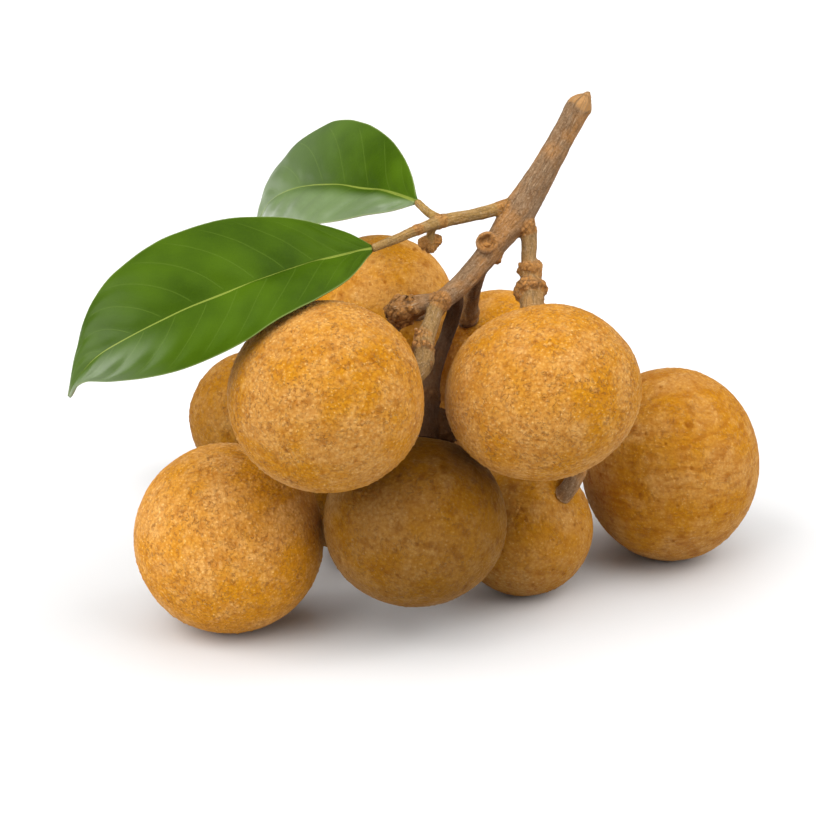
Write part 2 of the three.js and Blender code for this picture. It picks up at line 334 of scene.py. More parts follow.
class Socket:
    """One output of a shader node, with arithmetic that adds Math nodes."""

    def __init__(self, shader: "Shader", output: bpy.types.NodeSocket) -> None:
        """Wrap an output of a shader's tree."""
        self.shader = shader
        self.output = output

    def _math(self, operation: str, *values: Any) -> "Socket":
        """Join values by one Math node."""
        return self.shader.node("ShaderNodeMath", {"operation": operation}, *values)

    def __add__(self, other: Any) -> "Socket":
        """This plus other."""
        return self._math("ADD", self, other)

    def __radd__(self, other: Any) -> "Socket":
        """Other plus this."""
        return self._math("ADD", other, self)

    def __sub__(self, other: Any) -> "Socket":
        """This minus other."""
        return self._math("SUBTRACT", self, other)

    def __rsub__(self, other: Any) -> "Socket":
        """Other minus this."""
        return self._math("SUBTRACT", other, self)

    def __mul__(self, other: Any) -> "Socket":
        """This times other."""
        return self._math("MULTIPLY", self, other)

    def __rmul__(self, other: Any) -> "Socket":
        """Other times this."""
        return self._math("MULTIPLY", other, self)

    def __truediv__(self, other: Any) -> "Socket":
        """This over other."""
        return self._math("DIVIDE", self, other)

    def __rtruediv__(self, other: Any) -> "Socket":
        """Other over this."""
        return self._math("DIVIDE", other, self)

    def __abs__(self) -> "Socket":
        """This without its sign."""
        return self._math("ABSOLUTE", self)

    def cosine(self) -> "Socket":
        """The cosine of this, in radians."""
        return self._math("COSINE", self)

    def eased(self, low: Number, high: Number) -> "Socket":
        """This eased from 0 where it is low to 1 where it is high."""
        settings = {"interpolation_type": "SMOOTHSTEP", "clamp": True}
        return self.shader.node("ShaderNodeMapRange", settings, self, low, high, 0.0, 1.0)


class Shader:
    """A node tree that ends in one Principled surface."""

    # The numbers of a colour Mix node's sockets.
    SHARE, FIRST, SECOND, BLEND = 0, 6, 7, 2

    def __init__(self, name: str) -> None:
        """Start a material.

        Args:
            name: the material's name.
        """
        self.material = bpy.data.materials.new(name)
        self.material.use_nodes = True
        self.tree = self.material.node_tree
        self.tree.nodes.clear()

    def node(
        self, kind: str, settings: dict[str, Any], *values: Any, out: Union[int, str] = 0,
        **named: Any,
    ) -> Socket:
        """Add a node.

        Args:
            kind: the node's type.
            settings: its own properties, set before its sockets.
            values: a number, a vector or a link for each input in turn, or None to skip one.
            out: which output to return.
            named: values of inputs by name, with _ for a space.

        Returns:
            The wrapped output.
        """
        made = self.tree.nodes.new(kind)
        for key, value in settings.items():
            setattr(made, key, value)
        inputs = [(made.inputs[i], value) for i, value in enumerate(values) if value is not None]
        inputs += [(made.inputs[key.replace("_", " ")], value) for key, value in named.items()]
        for socket, value in inputs:
            if isinstance(value, Socket):
                self.tree.links.new(value.output, socket)
            else:
                socket.default_value = value
        return Socket(self, made.outputs[out])

    def place(self, offset: Triple) -> Socket:
        """Places on the object, moved.

        Args:
            offset: the move, in mm.

        Returns:
            A vector in mm.
        """
        where = self.node("ShaderNodeTexCoord", {}, out="Object")
        in_mm = self.node("ShaderNodeVectorMath", {"operation": "SCALE"}, where, Scale=1.0 / MM)
        return self.node("ShaderNodeVectorMath", {"operation": "ADD"}, in_mm, offset)

    def mark(self, name: str, vector: bool = False) -> Socket:
        """A named number, or vector, that the mesh carries."""
        out = "Vector" if vector else "Fac"
        return self.node("ShaderNodeAttribute", {"attribute_name": name}, out=out)

    def noise(
        self, where: Socket, size: float, detail: float = 2.0, rough: float = 0.5,
        twist: float = 0.0,
    ) -> Socket:
        """Soft noise.

        Args:
            where: places in mm.
            size: the distance between swellings, in mm.
            detail: how many finer layers it has.
            rough: how strong they are.
            twist: how much it is distorted.

        Returns:
            A value around 0.5.
        """
        return self.node(
            "ShaderNodeTexNoise", {}, Vector=where, Scale=1.0 / size, Detail=detail,
            Roughness=rough, Distortion=twist, out="Fac",
        )

    def cells(self, where: Socket, size: float) -> Socket:
        """How far places lie from seeds about one size apart, as a share of the size."""
        settings = {"feature": "F1"}
        return self.node("ShaderNodeTexVoronoi", settings, Vector=where, Scale=1.0 / size, out="Distance")

    def mix(self, share: Union[Socket, float], first: Any, second: Any) -> Socket:
        """Blend two colours.

        Args:
            share: how much of the second shows, from 0 to 1.
            first: a colour or a link.
            second: a colour or a link.

        Returns:
            The blended colour.
        """
        made = self.tree.nodes.new("ShaderNodeMix")
        made.data_type = "RGBA"
        made.clamp_factor = True
        ends = ((self.SHARE, share), (self.FIRST, first), (self.SECOND, second))
        for socket, value in ((made.inputs[number], value) for number, value in ends):
            if isinstance(value, Socket):
                self.tree.links.new(value.output, socket)
            else:
                socket.default_value = (*value, 1.0) if isinstance(value, tuple) else value
        return Socket(self, made.outputs[self.BLEND])

    def bump(self, height: Socket, depth: float, strength: float = 1.0) -> Socket:
        """The normal of a fine relief, where a height of 1 stands for the depth in mm."""
        fine = {"Strength": strength, "Distance": depth * MM, "Height": height}
        return self.node("ShaderNodeBump", {}, **fine, out="Normal")

    def finish(self, **named: Any) -> bpy.types.Material:
        """Close the tree with a Principled surface.

        Args:
            named: values of its inputs by name, with _ for a space.

        Returns:
            The material.
        """
        surface = self.node("ShaderNodeBsdfPrincipled", {}, **named)
        end = self.tree.nodes.new("ShaderNodeOutputMaterial")
        self.tree.links.new(surface.output, end.inputs["Surface"])
        return self.material


@dataclass(frozen=True)
class SkinFinish:
    """The brittle, granular skin of one fruit. Sizes are in mm."""

    offset: Triple
    mottling: float
    flecking: float
    graining: float
    banding: float
    # tone scales the whole colour: partly the fruit's own lighter or darker skin, partly painted light
    # and painted shade that make the fruit look more or less brightly lit.
    tone: float
    golden: Colour = (0.430, 0.180, 0.0080)
    tan: Colour = (0.455, 0.222, 0.050)
    brown: Colour = (0.275, 0.088, 0.006)
    fleck: Colour = (0.200, 0.056, 0.003)
    pale: Colour = (0.680, 0.430, 0.170)
    patch_size: float = 7.0
    cluster_size: float = 3.6
    fair_size: float = 2.8
    blotch_size: float = 2.2
    cloud_size: float = 0.9
    line_size: float = 0.62
    grain_size: float = 0.50
    speck_size: float = 0.30
    band_size: float = 3.2
    band_flatness: float = 3.6
    grain_depth: float = 0.17
    sheen: Colour = (1.0, 0.84, 0.58)

    def material(self, name: str) -> bpy.types.Material:
        """Make the skin.

        Args:
            name: the material's name.

        Returns:
            The material.
        """
        s = Shader(name)
        where = s.place(self.offset)
        broad = s.noise(where, self.patch_size).eased(0.36, 0.66)
        fair = s.noise(where, self.fair_size, 3.0, 0.6).eased(0.46, 0.72)
        blotch = s.noise(where, self.blotch_size, 3.0, 0.6, 0.4).eased(0.52, 0.74)
        cluster = s.noise(where, self.cluster_size).eased(0.40, 0.62)
        cloud = s.noise(where, self.cloud_size, 3.0, 0.65).eased(0.42, 0.74)
        winding = abs(s.noise(where, self.line_size, 1.0, 0.5, 0.9) - 0.5)
        gate = s.noise(s.place(self.gate_offset()), 0.6, 1.0).eased(0.48, 0.58)
        # Painted highlight along thin winding crests, and painted shade in the wider band round them.
        painted_crest_highlight = (1.0 - winding.eased(0.008, 0.05)) * gate
        painted_crest_shade = (1.0 - winding.eased(0.04, 0.13)) * gate
        speck = s.noise(where, self.speck_size, 2.0, 0.6, 0.6)
        seeds = s.cells(where, self.grain_size)
        # Painted highlight: pale colour on the raised middles of the skin's grains.
        top = (1.0 - seeds).eased(0.62, 0.90) * speck.eased(0.46, 0.62)
        # Painted shade: brown in the low crevices between the grains.
        painted_crevice_shade = seeds.eased(0.42, 0.75)
        stretch = (1.0, 1.0, self.band_flatness)
        flat = s.node("ShaderNodeVectorMath", {"operation": "MULTIPLY"}, where, stretch)
        band = s.noise(flat, self.band_size, 3.0, 0.6, 0.3).eased(0.46, 0.70)
        strength = (0.45 + 0.55 * cluster) * self.flecking
        colour = s.mix(broad, self.golden, self.tan)
        for share, tint in (
            (fair * 0.25, self.pale),
            # Painted highlight on the grains' tops.
            (top * (0.62 * self.graining), self.pale),
            # Painted highlight on the raised crumbs.
            (s.mark("crumb") * strength * 0.42, self.pale),
            # Painted highlight on the crests.
            (painted_crest_highlight * strength * 0.35, self.pale),
            (cloud * 0.42, self.brown),
            (blotch * (0.60 * self.mottling), self.brown),
            # Painted shade in the crevices between the grains.
            (painted_crevice_shade * (0.34 * self.graining), self.brown),
            # Painted shade round the crests.
            (painted_crest_shade * strength * 0.46, self.brown),
            # Painted shade in the ring round each crumb.
            (s.mark("ring") * strength * 0.62, self.brown),
            (s.mark("mottle") * (0.72 * self.mottling), self.fleck),
            (s.mark("spot") * (0.85 * self.mottling), self.fleck),
            (band * self.banding, self.brown),
        ):
            colour = s.mix(share, colour, tint)
        # Scaling by the tone: partly the skin's own lighter or darker colour, partly painted light and
        # painted shade for the whole fruit.
        colour = s.node("ShaderNodeVectorMath", {"operation": "SCALE"}, colour, Scale=self.tone)
        height = (1.0 - seeds) * 0.6 + speck * 0.8 + painted_crest_highlight * strength * 1.2
        return s.finish(
            Base_Color=colour,
            Roughness=0.62 - 0.15 * top + 0.1 * painted_crevice_shade,
            Specular_IOR_Level=0.02,
            Sheen_Weight=0.12,
            Sheen_Roughness=0.30,
            Sheen_Tint=(*self.sheen, 1.0),
            Normal=s.bump(height, self.grain_depth * self.graining),
        )

    def gate_offset(self) -> Triple:
        """An offset for a second, unrelated noise."""
        x, y, z = self.offset
        return (x + 61.0, y - 23.0, z + 37.0)


@dataclass(frozen=True)
class BarkFinish:
    """Grey-brown bark with lengthwise streaks, pale pores, scaly knots and bare broken wood.

    Painted shade darkens the bark in its hollows and on rods whose youth is below 0. Sizes are in mm.
    """

    grey: Colour = (0.215, 0.134, 0.072)
    brown: Colour = (0.165, 0.086, 0.036)
    dark: Colour = (0.050, 0.019, 0.007)
    ochre: Colour = (0.420, 0.185, 0.042)
    pale: Colour = (0.370, 0.255, 0.150)
    wood: Colour = (0.310, 0.175, 0.072)
    green: Colour = (0.290, 0.174, 0.042)
    patch_size: float = 4.5
    pore_size: float = 0.8
    crack_size: float = 0.75
    streak_size: float = 0.34
    fine_size: float = 0.28
    depth: float = 0.18

    def material(self, name: str) -> bpy.types.Material:
        """Make the bark.

        Args:
            name: the material's name.

        Returns:
            The material.
        """
        s = Shader(name)
        where = s.place((3.0, 5.0, 7.0))
        round_bark = s.mark("bark", vector=True)
        streak = s.noise(round_bark, self.streak_size, 4.0, 0.7, 0.2)
        fine = s.noise(where, self.fine_size, 3.0, 0.75)
        broad = s.noise(where, self.patch_size)
        crack = 1.0 - abs(s.noise(round_bark, self.crack_size, 2.0, 0.6, 0.5) - 0.5).eased(0.0, 0.035)
        pores = (1.0 - s.cells(round_bark, self.pore_size)).eased(0.80, 0.90)
        youth_and_painted_shade = s.mark("youth_and_painted_shade")
        colour = s.mix(streak.eased(0.34, 0.66), self.brown, self.grey)
        grained = s.mix(streak.eased(0.45, 0.62) * 0.6, self.wood, self.ochre)
        for share, tint in (
            (broad.eased(0.45, 0.7) * 0.52, self.ochre),
            (youth_and_painted_shade * 0.9, self.green),
            (s.mark("knot") * 0.85, self.ochre),
            (pores * 0.6, self.pale),
            (fine.eased(0.53, 0.66) * 0.55, self.pale),
            ((1.0 - fine).eased(0.55, 0.70) * 0.55, self.dark),
            (crack * 0.22, self.dark),
            # Painted shade in the hollows of knots and of the round scar.
            (s.mark("painted_hollow_shade") * 0.60, self.dark),
            # Painted shade: a youth below 0 darkens the bark as if the rod lay deep in shade.
            ((0.0 - youth_and_painted_shade) * 0.85, self.dark),
            (s.mark("bare") * 0.9, grained),
        ):
            colour = s.mix(share, colour, tint)
        height = streak * 0.8 + fine * 0.8 + pores * 0.5 - crack * 0.6
        return s.finish(
            Base_Color=colour,
            Roughness=0.85,
            Specular_IOR_Level=0.2,
            Normal=s.bump(height, self.depth, 0.9),
        )


@dataclass(frozen=True)
class LeafFinish:
    """A waxy leaf blade: green between fine pale veins, with a yellow-green rib and edge.

    Wax and a pale painted sheen, which is reflection painted into the colour, run from haze_from, as a
    share of the length, to the tip. Sizes are in mm.
    """

    offset: Triple
    tip_wax: float
    low_wax: float
    both_sides: float
    painted_sheen: float
    haze_from: float
    deep: Colour = (0.026, 0.056, 0.0002)
    fresh: Colour = (0.044, 0.088, 0.0010)
    rib: Colour = (0.200, 0.240, 0.038)
    vein: Colour = (0.075, 0.125, 0.012)
    below: Colour = (0.092, 0.145, 0.044)
    edge: Colour = (0.190, 0.240, 0.072)
    tip: Colour = (0.160, 0.190, 0.096)
    # The pale colour of the painted sheen, a reflection painted into the blade's colour.
    painted_sheen_tint: Colour = (0.300, 0.400, 0.200)
    cloud_size: float = 9.0
    net_size: float = 0.55
    pebble_size: float = 0.35
    rib_at_base: float = 0.28
    rib_at_tip: float = 0.08
    depth: float = 0.05

    def material(self, name: str) -> bpy.types.Material:
        """Make the blade.

        Args:
            name: the material's name.

        Returns:
            The material.
        """
        s = Shader(name)
        where = s.place(self.offset)
        along = s.mark("along")
        across = s.mark("across")
        out = abs(across)
        under = s.mark("underside")
        cloud = s.noise(where, self.cloud_size)
        net = s.cells(where, self.net_size).eased(0.45, 0.8)
        line = abs((s.mark("vein_phase") * math.pi).cosine())
        vein = (1.0 - line).eased(0.90, 0.99) * out.eased(0.02, 0.10) * (1.0 - out.eased(0.80, 0.95))
        width = self.rib_at_tip + (self.rib_at_base - self.rib_at_tip) * (1.0 - along)
        rib = 1.0 - (out * s.mark("half_width") / width).eased(0.7, 1.25)
        low_side = (0.0 - across).eased(0.02, 0.5)
        side = low_side * (1.0 - self.both_sides) + self.both_sides
        wax = along.eased(self.haze_from, 0.97) * side * self.tip_wax + low_side * self.low_wax
        colour = s.mix(cloud.eased(0.30, 0.70), self.deep, self.fresh)
        for share, tint in (
            (net * 0.10, self.fresh),
            (vein * 0.42, self.vein),
            (under * 0.85, self.below),
            (along.eased(0.955, 1.0) * 0.8, self.tip),
            (rib * 0.75, self.rib),
            (s.mark("rim") * 0.6, self.edge),
            # Painted sheen: pale colour mixed in where the wax lies, standing in for its reflection.
            (wax.eased(0.0, 1.0) * self.painted_sheen, self.painted_sheen_tint),
        ):
            colour = s.mix(share, colour, tint)
        height = vein * 0.5 + net * 0.25 + s.noise(where, self.pebble_size) * 0.4
        return s.finish(
            Base_Color=colour,
            Roughness=0.48 + 0.2 * under + 0.08 * cloud,
            Specular_IOR_Level=0.05,
            Coat_Weight=wax,
            Coat_Roughness=0.34,
            Coat_IOR=1.75,
            Normal=s.bump(height, self.depth, 0.6),
        )


class Detail(Enum):
    """How fine a fruit's mesh is: the squares along each edge of the cube that it starts from."""

    FRONT = 114
    SIDE = 84
    HALF_HIDDEN = 64
    HIDDEN = 48


def cube_sphere(squares: int) -> tuple[np.ndarray, np.ndarray]:
    """A sphere of even squares, with no poles.

    Args:
        squares: how many lie along each edge of the cube that is blown up into it.

    Returns:
        Unit vectors to its points, and the four points of each square, seen from outside.
    """
    steps = np.arange(squares + 1)
    i, j = np.meshgrid(steps, steps, indexing="ij")
    grid = np.arange((squares + 1) ** 2).reshape(squares + 1, squares + 1)
    quads = np.stack([grid[:-1, :-1], grid[1:, :-1], grid[1:, 1:], grid[:-1, 1:]], axis=-1)
    quads = quads.reshape(-1, 4)
    lattice, faces = [], []
    for axis in range(3):
        for end in (0, squares):
            flat = np.zeros((squares + 1, squares + 1, 3), np.int64)
            flat[..., axis] = end
            flat[..., (axis + 1) % 3] = i
            flat[..., (axis + 2) % 3] = j
            faces.append((quads if end else quads[:, ::-1]) + len(lattice) * (squares + 1) ** 2)
            lattice.append(flat.reshape(-1, 3))
    corners = np.concatenate(lattice)
    side = squares + 1
    keys = (corners[:, 0] * side + corners[:, 1]) * side + corners[:, 2]
    _, first, same = np.unique(keys, return_index=True, return_inverse=True)
    spread = np.tan((corners[first] / squares * 2.0 - 1.0) * math.pi / 4.0)
    return unit(spread), same[np.concatenate(faces)]


@dataclass
class Fruit:
    """One longan: a slightly uneven ball with a dimple at its stalk and a granular skin.

    The stalk is the way from the centre to the dimple. Sizes and rises are in mm.
    """

    name: str
    centre: Triple
    half: Triple
    stalk: Triple
    detail: Detail
    seed: int
    roll: float = 0.0
    mottling: float = 0.5
    flecking: float = 0.7
    graining: float = 1.0
    banding: float = 0.0
    # tone: partly the skin's own lighter or darker colour, partly painted light and painted shade for the
    # whole fruit.
    tone: float = 1.0
    dimple_depth: float = 0.05
    dimple_angle: float = 0.32
    unevenness: float = 0.009
    inset: float = 0.02
    dent_size: float = 6.5
    dent_depth: float = 0.07
    wave_size: float = 1.7
    wave_depth: float = 0.02
    crowd_size: float = 3.4
    crumb_size: float = 0.80
    crumb_rise: float = 0.13
    grain_size: float = 0.6
    grain_rise: float = 0.05
    mottle_size: float = 2.4
    spot_size: float = 1.5

    def inner(self, ways: np.ndarray) -> np.ndarray:
        """The fruit's size in each direction, as a share of its half-sizes.

        Args:
            ways: unit vectors from its centre.

        Returns:
            Shares near 1.
        """
        phase = self.centre[0] + self.centre[2]
        toward = unit(np.array(self.stalk, float))
        angle = np.arccos(np.clip(ways @ toward, -1.0, 1.0)) / self.dimple_angle
        swelling = np.sin(2.3 * ways[:, 0] + phase) * np.cos(2.9 * ways[:, 1] - phase)
        swelling += np.sin(2.6 * ways[:, 2] + 2 * phase)
        return 1.0 - self.dimple_depth * np.exp(-(angle**2)) + 0.5 * self.unevenness * swelling

    def relief(self, points: np.ndarray) -> tuple[np.ndarray, Arrays]:
        """The skin's own relief.

        Args:
            points: places on the smooth fruit, in mm.

        Returns:
            Heights in mm, and the marks from 0 to 1: crumbs, the rings round them, brown
            mottles and dark spots.
        """
        noise = Noise(self.seed)
        dents = noise.fractal(points, self.dent_size, 2) * self.dent_depth
        waves = noise.fractal(points, self.wave_size, 2) * self.wave_depth
        crowd = smooth(noise.value(points + 31.0, self.crowd_size), -0.35, 0.30)
        twist = noise.value(points + 11.0, 0.42) * 0.18
        near, _, draw = noise.cells(points, self.crumb_size)
        drawn = smooth(draw, 0.40, 0.55) * (0.30 + 0.70 * crowd)
        # The skin paints a highlight on each crumb and shade in the ring round it.
        crumb = smooth(0.40 - near + twist, 0.0, 0.22) * drawn
        # The ring round each crumb carries painted shade in the skin.
        ring = smooth(0.66 - near + twist, 0.0, 0.22) * drawn - crumb
        near, _, draw = noise.cells(points + 17.0, self.grain_size)
        grain = smooth(1.0 - near, 0.25, 0.85) * (0.35 + 0.65 * draw)
        near, _, draw = noise.cells(points + 40.0, self.mottle_size)
        ragged = noise.fractal(points + 80.0, 0.8, 2) * 0.2
        mottle = smooth(0.34 - near + ragged, -0.04, 0.26) * smooth(draw, 0.25, 0.9)
        near, _, draw = noise.cells(points + 60.0, self.spot_size)
        spot = smooth(0.24 - near + ragged * 0.5, 0.0, 0.16) * smooth(draw, 0.62, 0.75)
        height = dents + waves + (grain - 0.3) * self.grain_rise * self.graining
        height += crumb * self.crumb_rise * self.flecking - mottle * 0.02 - spot * 0.05
        return height, {"crumb": crumb, "ring": ring, "mottle": mottle, "spot": spot}

    def spin(self) -> np.ndarray:
        """The turn about Y that the roll gives, to set after points in rows."""
        c, s = math.cos(math.radians(self.roll)), math.sin(math.radians(self.roll))
        return np.array([[c, 0, -s], [0, 1, 0], [s, 0, c]])

    def build(self) -> bpy.types.Object:
        """Make the fruit's mesh and dress it.

        Returns:
            The object.
        """
        ways, faces = cube_sphere(self.detail.value)
        smooth_skin = ways * np.array(self.half) * self.inner(ways)[:, None]
        height, marks = self.relief(smooth_skin)
        points = smooth_skin + ways * (height - self.inset)[:, None]
        points = points @ self.spin() + np.array(self.centre)
        skin = SkinFinish(
            offset=(self.seed * 13.7, self.seed * -7.1, self.seed * 3.3), mottling=self.mottling,
            flecking=self.flecking, graining=self.graining, banding=self.banding, tone=self.tone,
        )
        name = self.name + "_skin"
        made = make_object(name, points, faces, marks, skin.material(name))
        return hand_over(made, self.name)


@dataclass
class Fruits:
    """The ten fruits of the bunch."""

    members: list[Fruit] = field(default_factory=lambda: [
        Fruit("fruit_front_left", (-15.9, -33.9, 39.9), (13.4, 12.9, 13), (12.2, 4.4, 1.5),
              Detail.FRONT, 3, mottling=0.62, flecking=0.8),
        Fruit("fruit_front_right", (13.75, -25.9, 37.8), (13.65, 13.4, 12.1), (-1.7, 6.7, 9.9),
              Detail.FRONT, 5, roll=-13, mottling=0.6, flecking=0.8),
        # fruit_top_back: its tone of 1.10 is painted light.
        Fruit("fruit_top_back", (-9.2, 7, 39.3), (11.6, 11.4, 11.5), (6, -9.2, 2.9),
              Detail.HALF_HIDDEN, 7, mottling=1.0, flecking=0.5, graining=0.6, tone=1.10),
        # fruit_middle: its tone of 0.45 is painted shade, dark as if shaded by the fruits round it.
        Fruit("fruit_middle", (-3.9, -24.4, 17.9), (13.1, 13, 12.3), (1.9, 5.3, 11),
              Detail.SIDE, 11, mottling=0.7, flecking=0.6, graining=0.7, tone=0.45),
        Fruit("fruit_behind", (9.6, 18, 25), (13.3, 12.9, 13.6), (-4.4, -4.9, 10),
              Detail.HIDDEN, 13, mottling=0.6, graining=0.8, tone=1.15),
        # fruit_inner: its tone of 0.50 is painted shade for a fruit deep inside the bunch.
        Fruit("fruit_inner", (-13.5, 4.5, 12.6), (11.3, 11.2, 11.4), (-0.3, -3.2, 11),
              Detail.HIDDEN, 41, mottling=0.8, graining=0.8, tone=0.50),
        # fruit_low_left: its tone of 1.26 is painted light.
        Fruit("fruit_low_left", (-30.7, -20.9, 13.65), (13.7, 13.6, 13.85), (6.2, 4.1, 11.6),
              Detail.SIDE, 17, mottling=0.5, flecking=0.8, tone=1.26),
        Fruit("fruit_low_right", (35.7, 4.8, 14.9), (13.7, 14.6, 15.1), (-11.7, -5.8, 14.5),
              Detail.SIDE, 19, mottling=0.95, flecking=0.5, graining=0.7, banding=0.6, tone=0.95),
        # fruit_low_back: its tone of 0.64 is partly a darker skin, partly painted shade under the near
        # leaf.
        Fruit("fruit_low_back", (-30.2, 35.5, 11.3), (11.6, 11.4, 11.5), (6.3, -6.5, 8.5),
              Detail.HIDDEN, 23, mottling=0.8, graining=0.8, tone=0.64),
        Fruit("fruit_small", (12.5, -8.9, 10.1), (10.3, 10.2, 10.3), (5.8, -4.6, 6.9),
              Detail.HALF_HIDDEN, 29, mottling=0.9, flecking=0.5, graining=0.8, tone=0.80),
    ])

    def build(self) -> list[bpy.types.Object]:
        """Make every fruit."""
        return [fruit.build() for fruit in self.members]


@dataclass
class Rod:
    """One branch or stalk: points along its middle, each with the radius there, in mm.

    The bark's youth goes from 1 for a green twig to 0; below 0 it is painted shade that darkens the bark,
    down to -1 for a rod deep in shade.
    """

    points: list[Ball]
    youth_and_painted_shade: float = 0.0


@dataclass
class Stem:
    """The whole woody stem: rods that flow into each other, knots, a bud and a round scar.

    Each knot is a centre, a radius and a number of knobs. Each crown is a centre, the way it
    faces, its radius, and the size and number of its knobs. Each tuft is a centre, the way it
    faces, the reach of its roots and of its tips, and the number of its spikes. In mm.
    The broken top loses its bark between two heights above the table.
    """

    fruits: Fruits
    seed: int = 11
    voxel: float = 0.24
    stalk_gap: float = 0.12
    blend: float = 0.16
    spine_step: float = 0.8
    far: float = 3.0
    rods: dict[str, Rod] = field(default_factory=lambda: {
        "trunk": Rod([
            (19.2, -6.2, 73.4, 1.85), (17.5, -7, 70.4, 1.75), (15, -8, 65.9, 1.85),
            (12.7, -9.5, 62.3, 2.2), (10.5, -10.9, 59.1, 2.4), (7.9, -13, 56, 1.8),
            (5.1, -16, 53.2, 1.55), (2.1, -18.5, 50.7, 1.45), (-0.7, -21, 49.1, 1.35),
            (-1.5, -21.6, 48.7, 0.9)]),
        "splinter": Rod([(19.3, -6, 73.4, 1.2), (20.1, -5.7, 74.5, 0.8), (20.5, -5.5, 75.3, 0.3)]),
        "leaf_twig": Rod([
            (10.5, -10.5, 60.6, 1.1), (7.7, -11.5, 60.1, 0.9), (3.8, -13.5, 59.6, 0.85),
            (-0.4, -16, 59.4, 0.9), (-4.6, -19, 58.6, 0.7), (-9.6, -21.9, 57.3, 0.55)], 0.7),
        "far_leafstalk": Rod([
            (-0.4, -16, 59.6, 0.7), (-2.1, -14.5, 60.4, 0.6), (-3.5, -12.2, 61.15, 0.55)], 1.0),
        "bud_stalk": Rod([(-1.6, -16.6, 59, 0.55), (-1.8, -16.2, 57, 0.6), (-1.7, -16, 56, 0.5)], 0.8),
        "front_left_stalk": Rod([
            (-0.7, -21, 49.2, 1.15), (-1.7, -23.5, 47.2, 1.15), (-2.6, -25.8, 45.2, 1.3),
            (-3, -28.2, 42.7, 1.5), (-4.6, -29.7, 41.5, 1.8)], 0.5),
        "bract_stub": Rod([(-0.5, -21, 49.2, 1.2), (-3.2, -20.5, 48.9, 1.25), (-5.6, -20, 47.6, 1.5)]),
        "front_right_stalk": Rod([
            (10.8, -10.6, 59, 1.5), (12.2, -12, 56.4, 1.15), (12.2, -13.6, 53.2, 1.05),
            (12.4, -15.3, 50.4, 1.25), (12.5, -17.2, 48.6, 1.65), (12.5, -19.2, 46.6, 1.75)], 0.4),
        "behind_stalk": Rod([
            (5, -15.4, 52.4, 1.2), (4.4, -12, 48.6, 1.15), (4, -7, 43.4, 1.2),
            (4.4, 1, 40.4, 0.95), (4.9, 7.5, 38.6, 1), (4.7, 12.4, 36.2, 1.4),
            (5.1, 13.6, 34.6, 1.5)]),
        # The middle stalk's bark carries painted shade, dark as if deep between the fruits.
        "middle_stalk": Rod([
            (1.8, -17.6, 50.4, 1.1), (1.9, -13.6, 46.2, 1.05), (0.7, -12.6, 41.6, 1.05),
            (-1.2, -14.2, 36.8, 1.2), (-2, -16.8, 32.6, 1.55), (-1.9, -19.3, 28.3, 1.7)], -0.9),
        "top_back_stalk": Rod([
            (-0.3, -20.6, 48.5, 1), (-0.8, -12, 45, 0.9), (-1.7, -6, 43.1, 1),
            (-3.8, -1.3, 41.8, 1.4)]),
        "right_branch": Rod([
            (12.3, -15.2, 50.4, 1.3), (13.3, -8, 44.6, 1.15), (16.4, -6, 35.4, 1.15),
            (19.4, -8, 26.4, 1.1), (20.2, -11.1, 21, 1.2), (18.8, -12.9, 18.2, 1.3),
            (17.5, -12.8, 16.6, 1.3)]),
        "low_right_stalk": Rod([
            (15.9, -6.1, 36.6, 1.1), (19.6, -3.6, 32.4, 1), (24, -1, 29.2, 1.1),
            (27.2, 0.6, 25.6, 1.5), (28.2, 1.1, 24, 1.5)]),
        "left_branch": Rod([
            (-3, -20.4, 48.6, 1.1), (-7.6, -14.4, 43, 1.1), (-12, -10.6, 35.4, 1.1),
            (-14.9, -9.2, 30, 1.2), (-20, -12.5, 26.9, 1.1), (-24.4, -16.8, 25.2, 1.4),
            (-25.2, -17.3, 23.8, 1.5)]),
        "low_back_stalk": Rod([
            (-14.6, -9.6, 30.6, 1.1), (-17.8, 4, 26.2, 0.95), (-21.2, 17, 22.6, 0.95),
            (-23.9, 28.4, 19.8, 1.3), (-24.8, 30.2, 18.4, 1.5)]),
        "inner_stalk": Rod([
            (-14.8, -9.4, 30.4, 1.1), (-14.6, -5.6, 28.2, 0.95), (-14.2, -1.6, 25.6, 1.2),
            (-13.8, 1.6, 22.5, 1.5)]),
    })
    knots: list[tuple[float, float, float, float, int]] = field(default_factory=lambda: [
        (8.6, -11.4, 60.2, 1.15, 2), (11.7, -11.8, 57.6, 1.45, 3), (7.2, -14, 54.1, 1.2, 1),
        (12.5, -14, 51.6, 1.6, 4), (12.3, -15.6, 49.4, 1.95, 6), (-2.9, -25.4, 45.5, 1.3, 4),
        (-5.9, -20, 47.5, 1.9, 11), (-3.6, -20.2, 48.3, 1.2, 3), (-0.5, -21.2, 49.3, 1.45, 1),
        (4, -7, 43.4, 1.5, 3), (-3.7, -18.4, 59, 0.8, 0), (-0.4, -15.9, 59.5, 0.95, 0),
        (19.9, -11.3, 20.3, 1.5, 4), (-14.9, -9.2, 30, 1.4, 2), (16.2, -6.1, 36, 1.4, 2),
        (-1.9, -16.2, 33.4, 1.7, 5),
    ])
    knob_size: float = 0.42
    crowns: list[tuple[Triple, Triple, float, float, int]] = field(default_factory=lambda: [
        ((12.25, -14.2, 52.0), (0.02, -0.5, -0.85), 1.30, 0.52, 10),
        ((12.4, -16.0, 49.6), (0.05, -0.66, -0.75), 1.72, 0.66, 11),
        ((-2.8, -26.6, 44.4), (-0.1, -0.65, -0.75), 1.25, 0.36, 9),
    ])
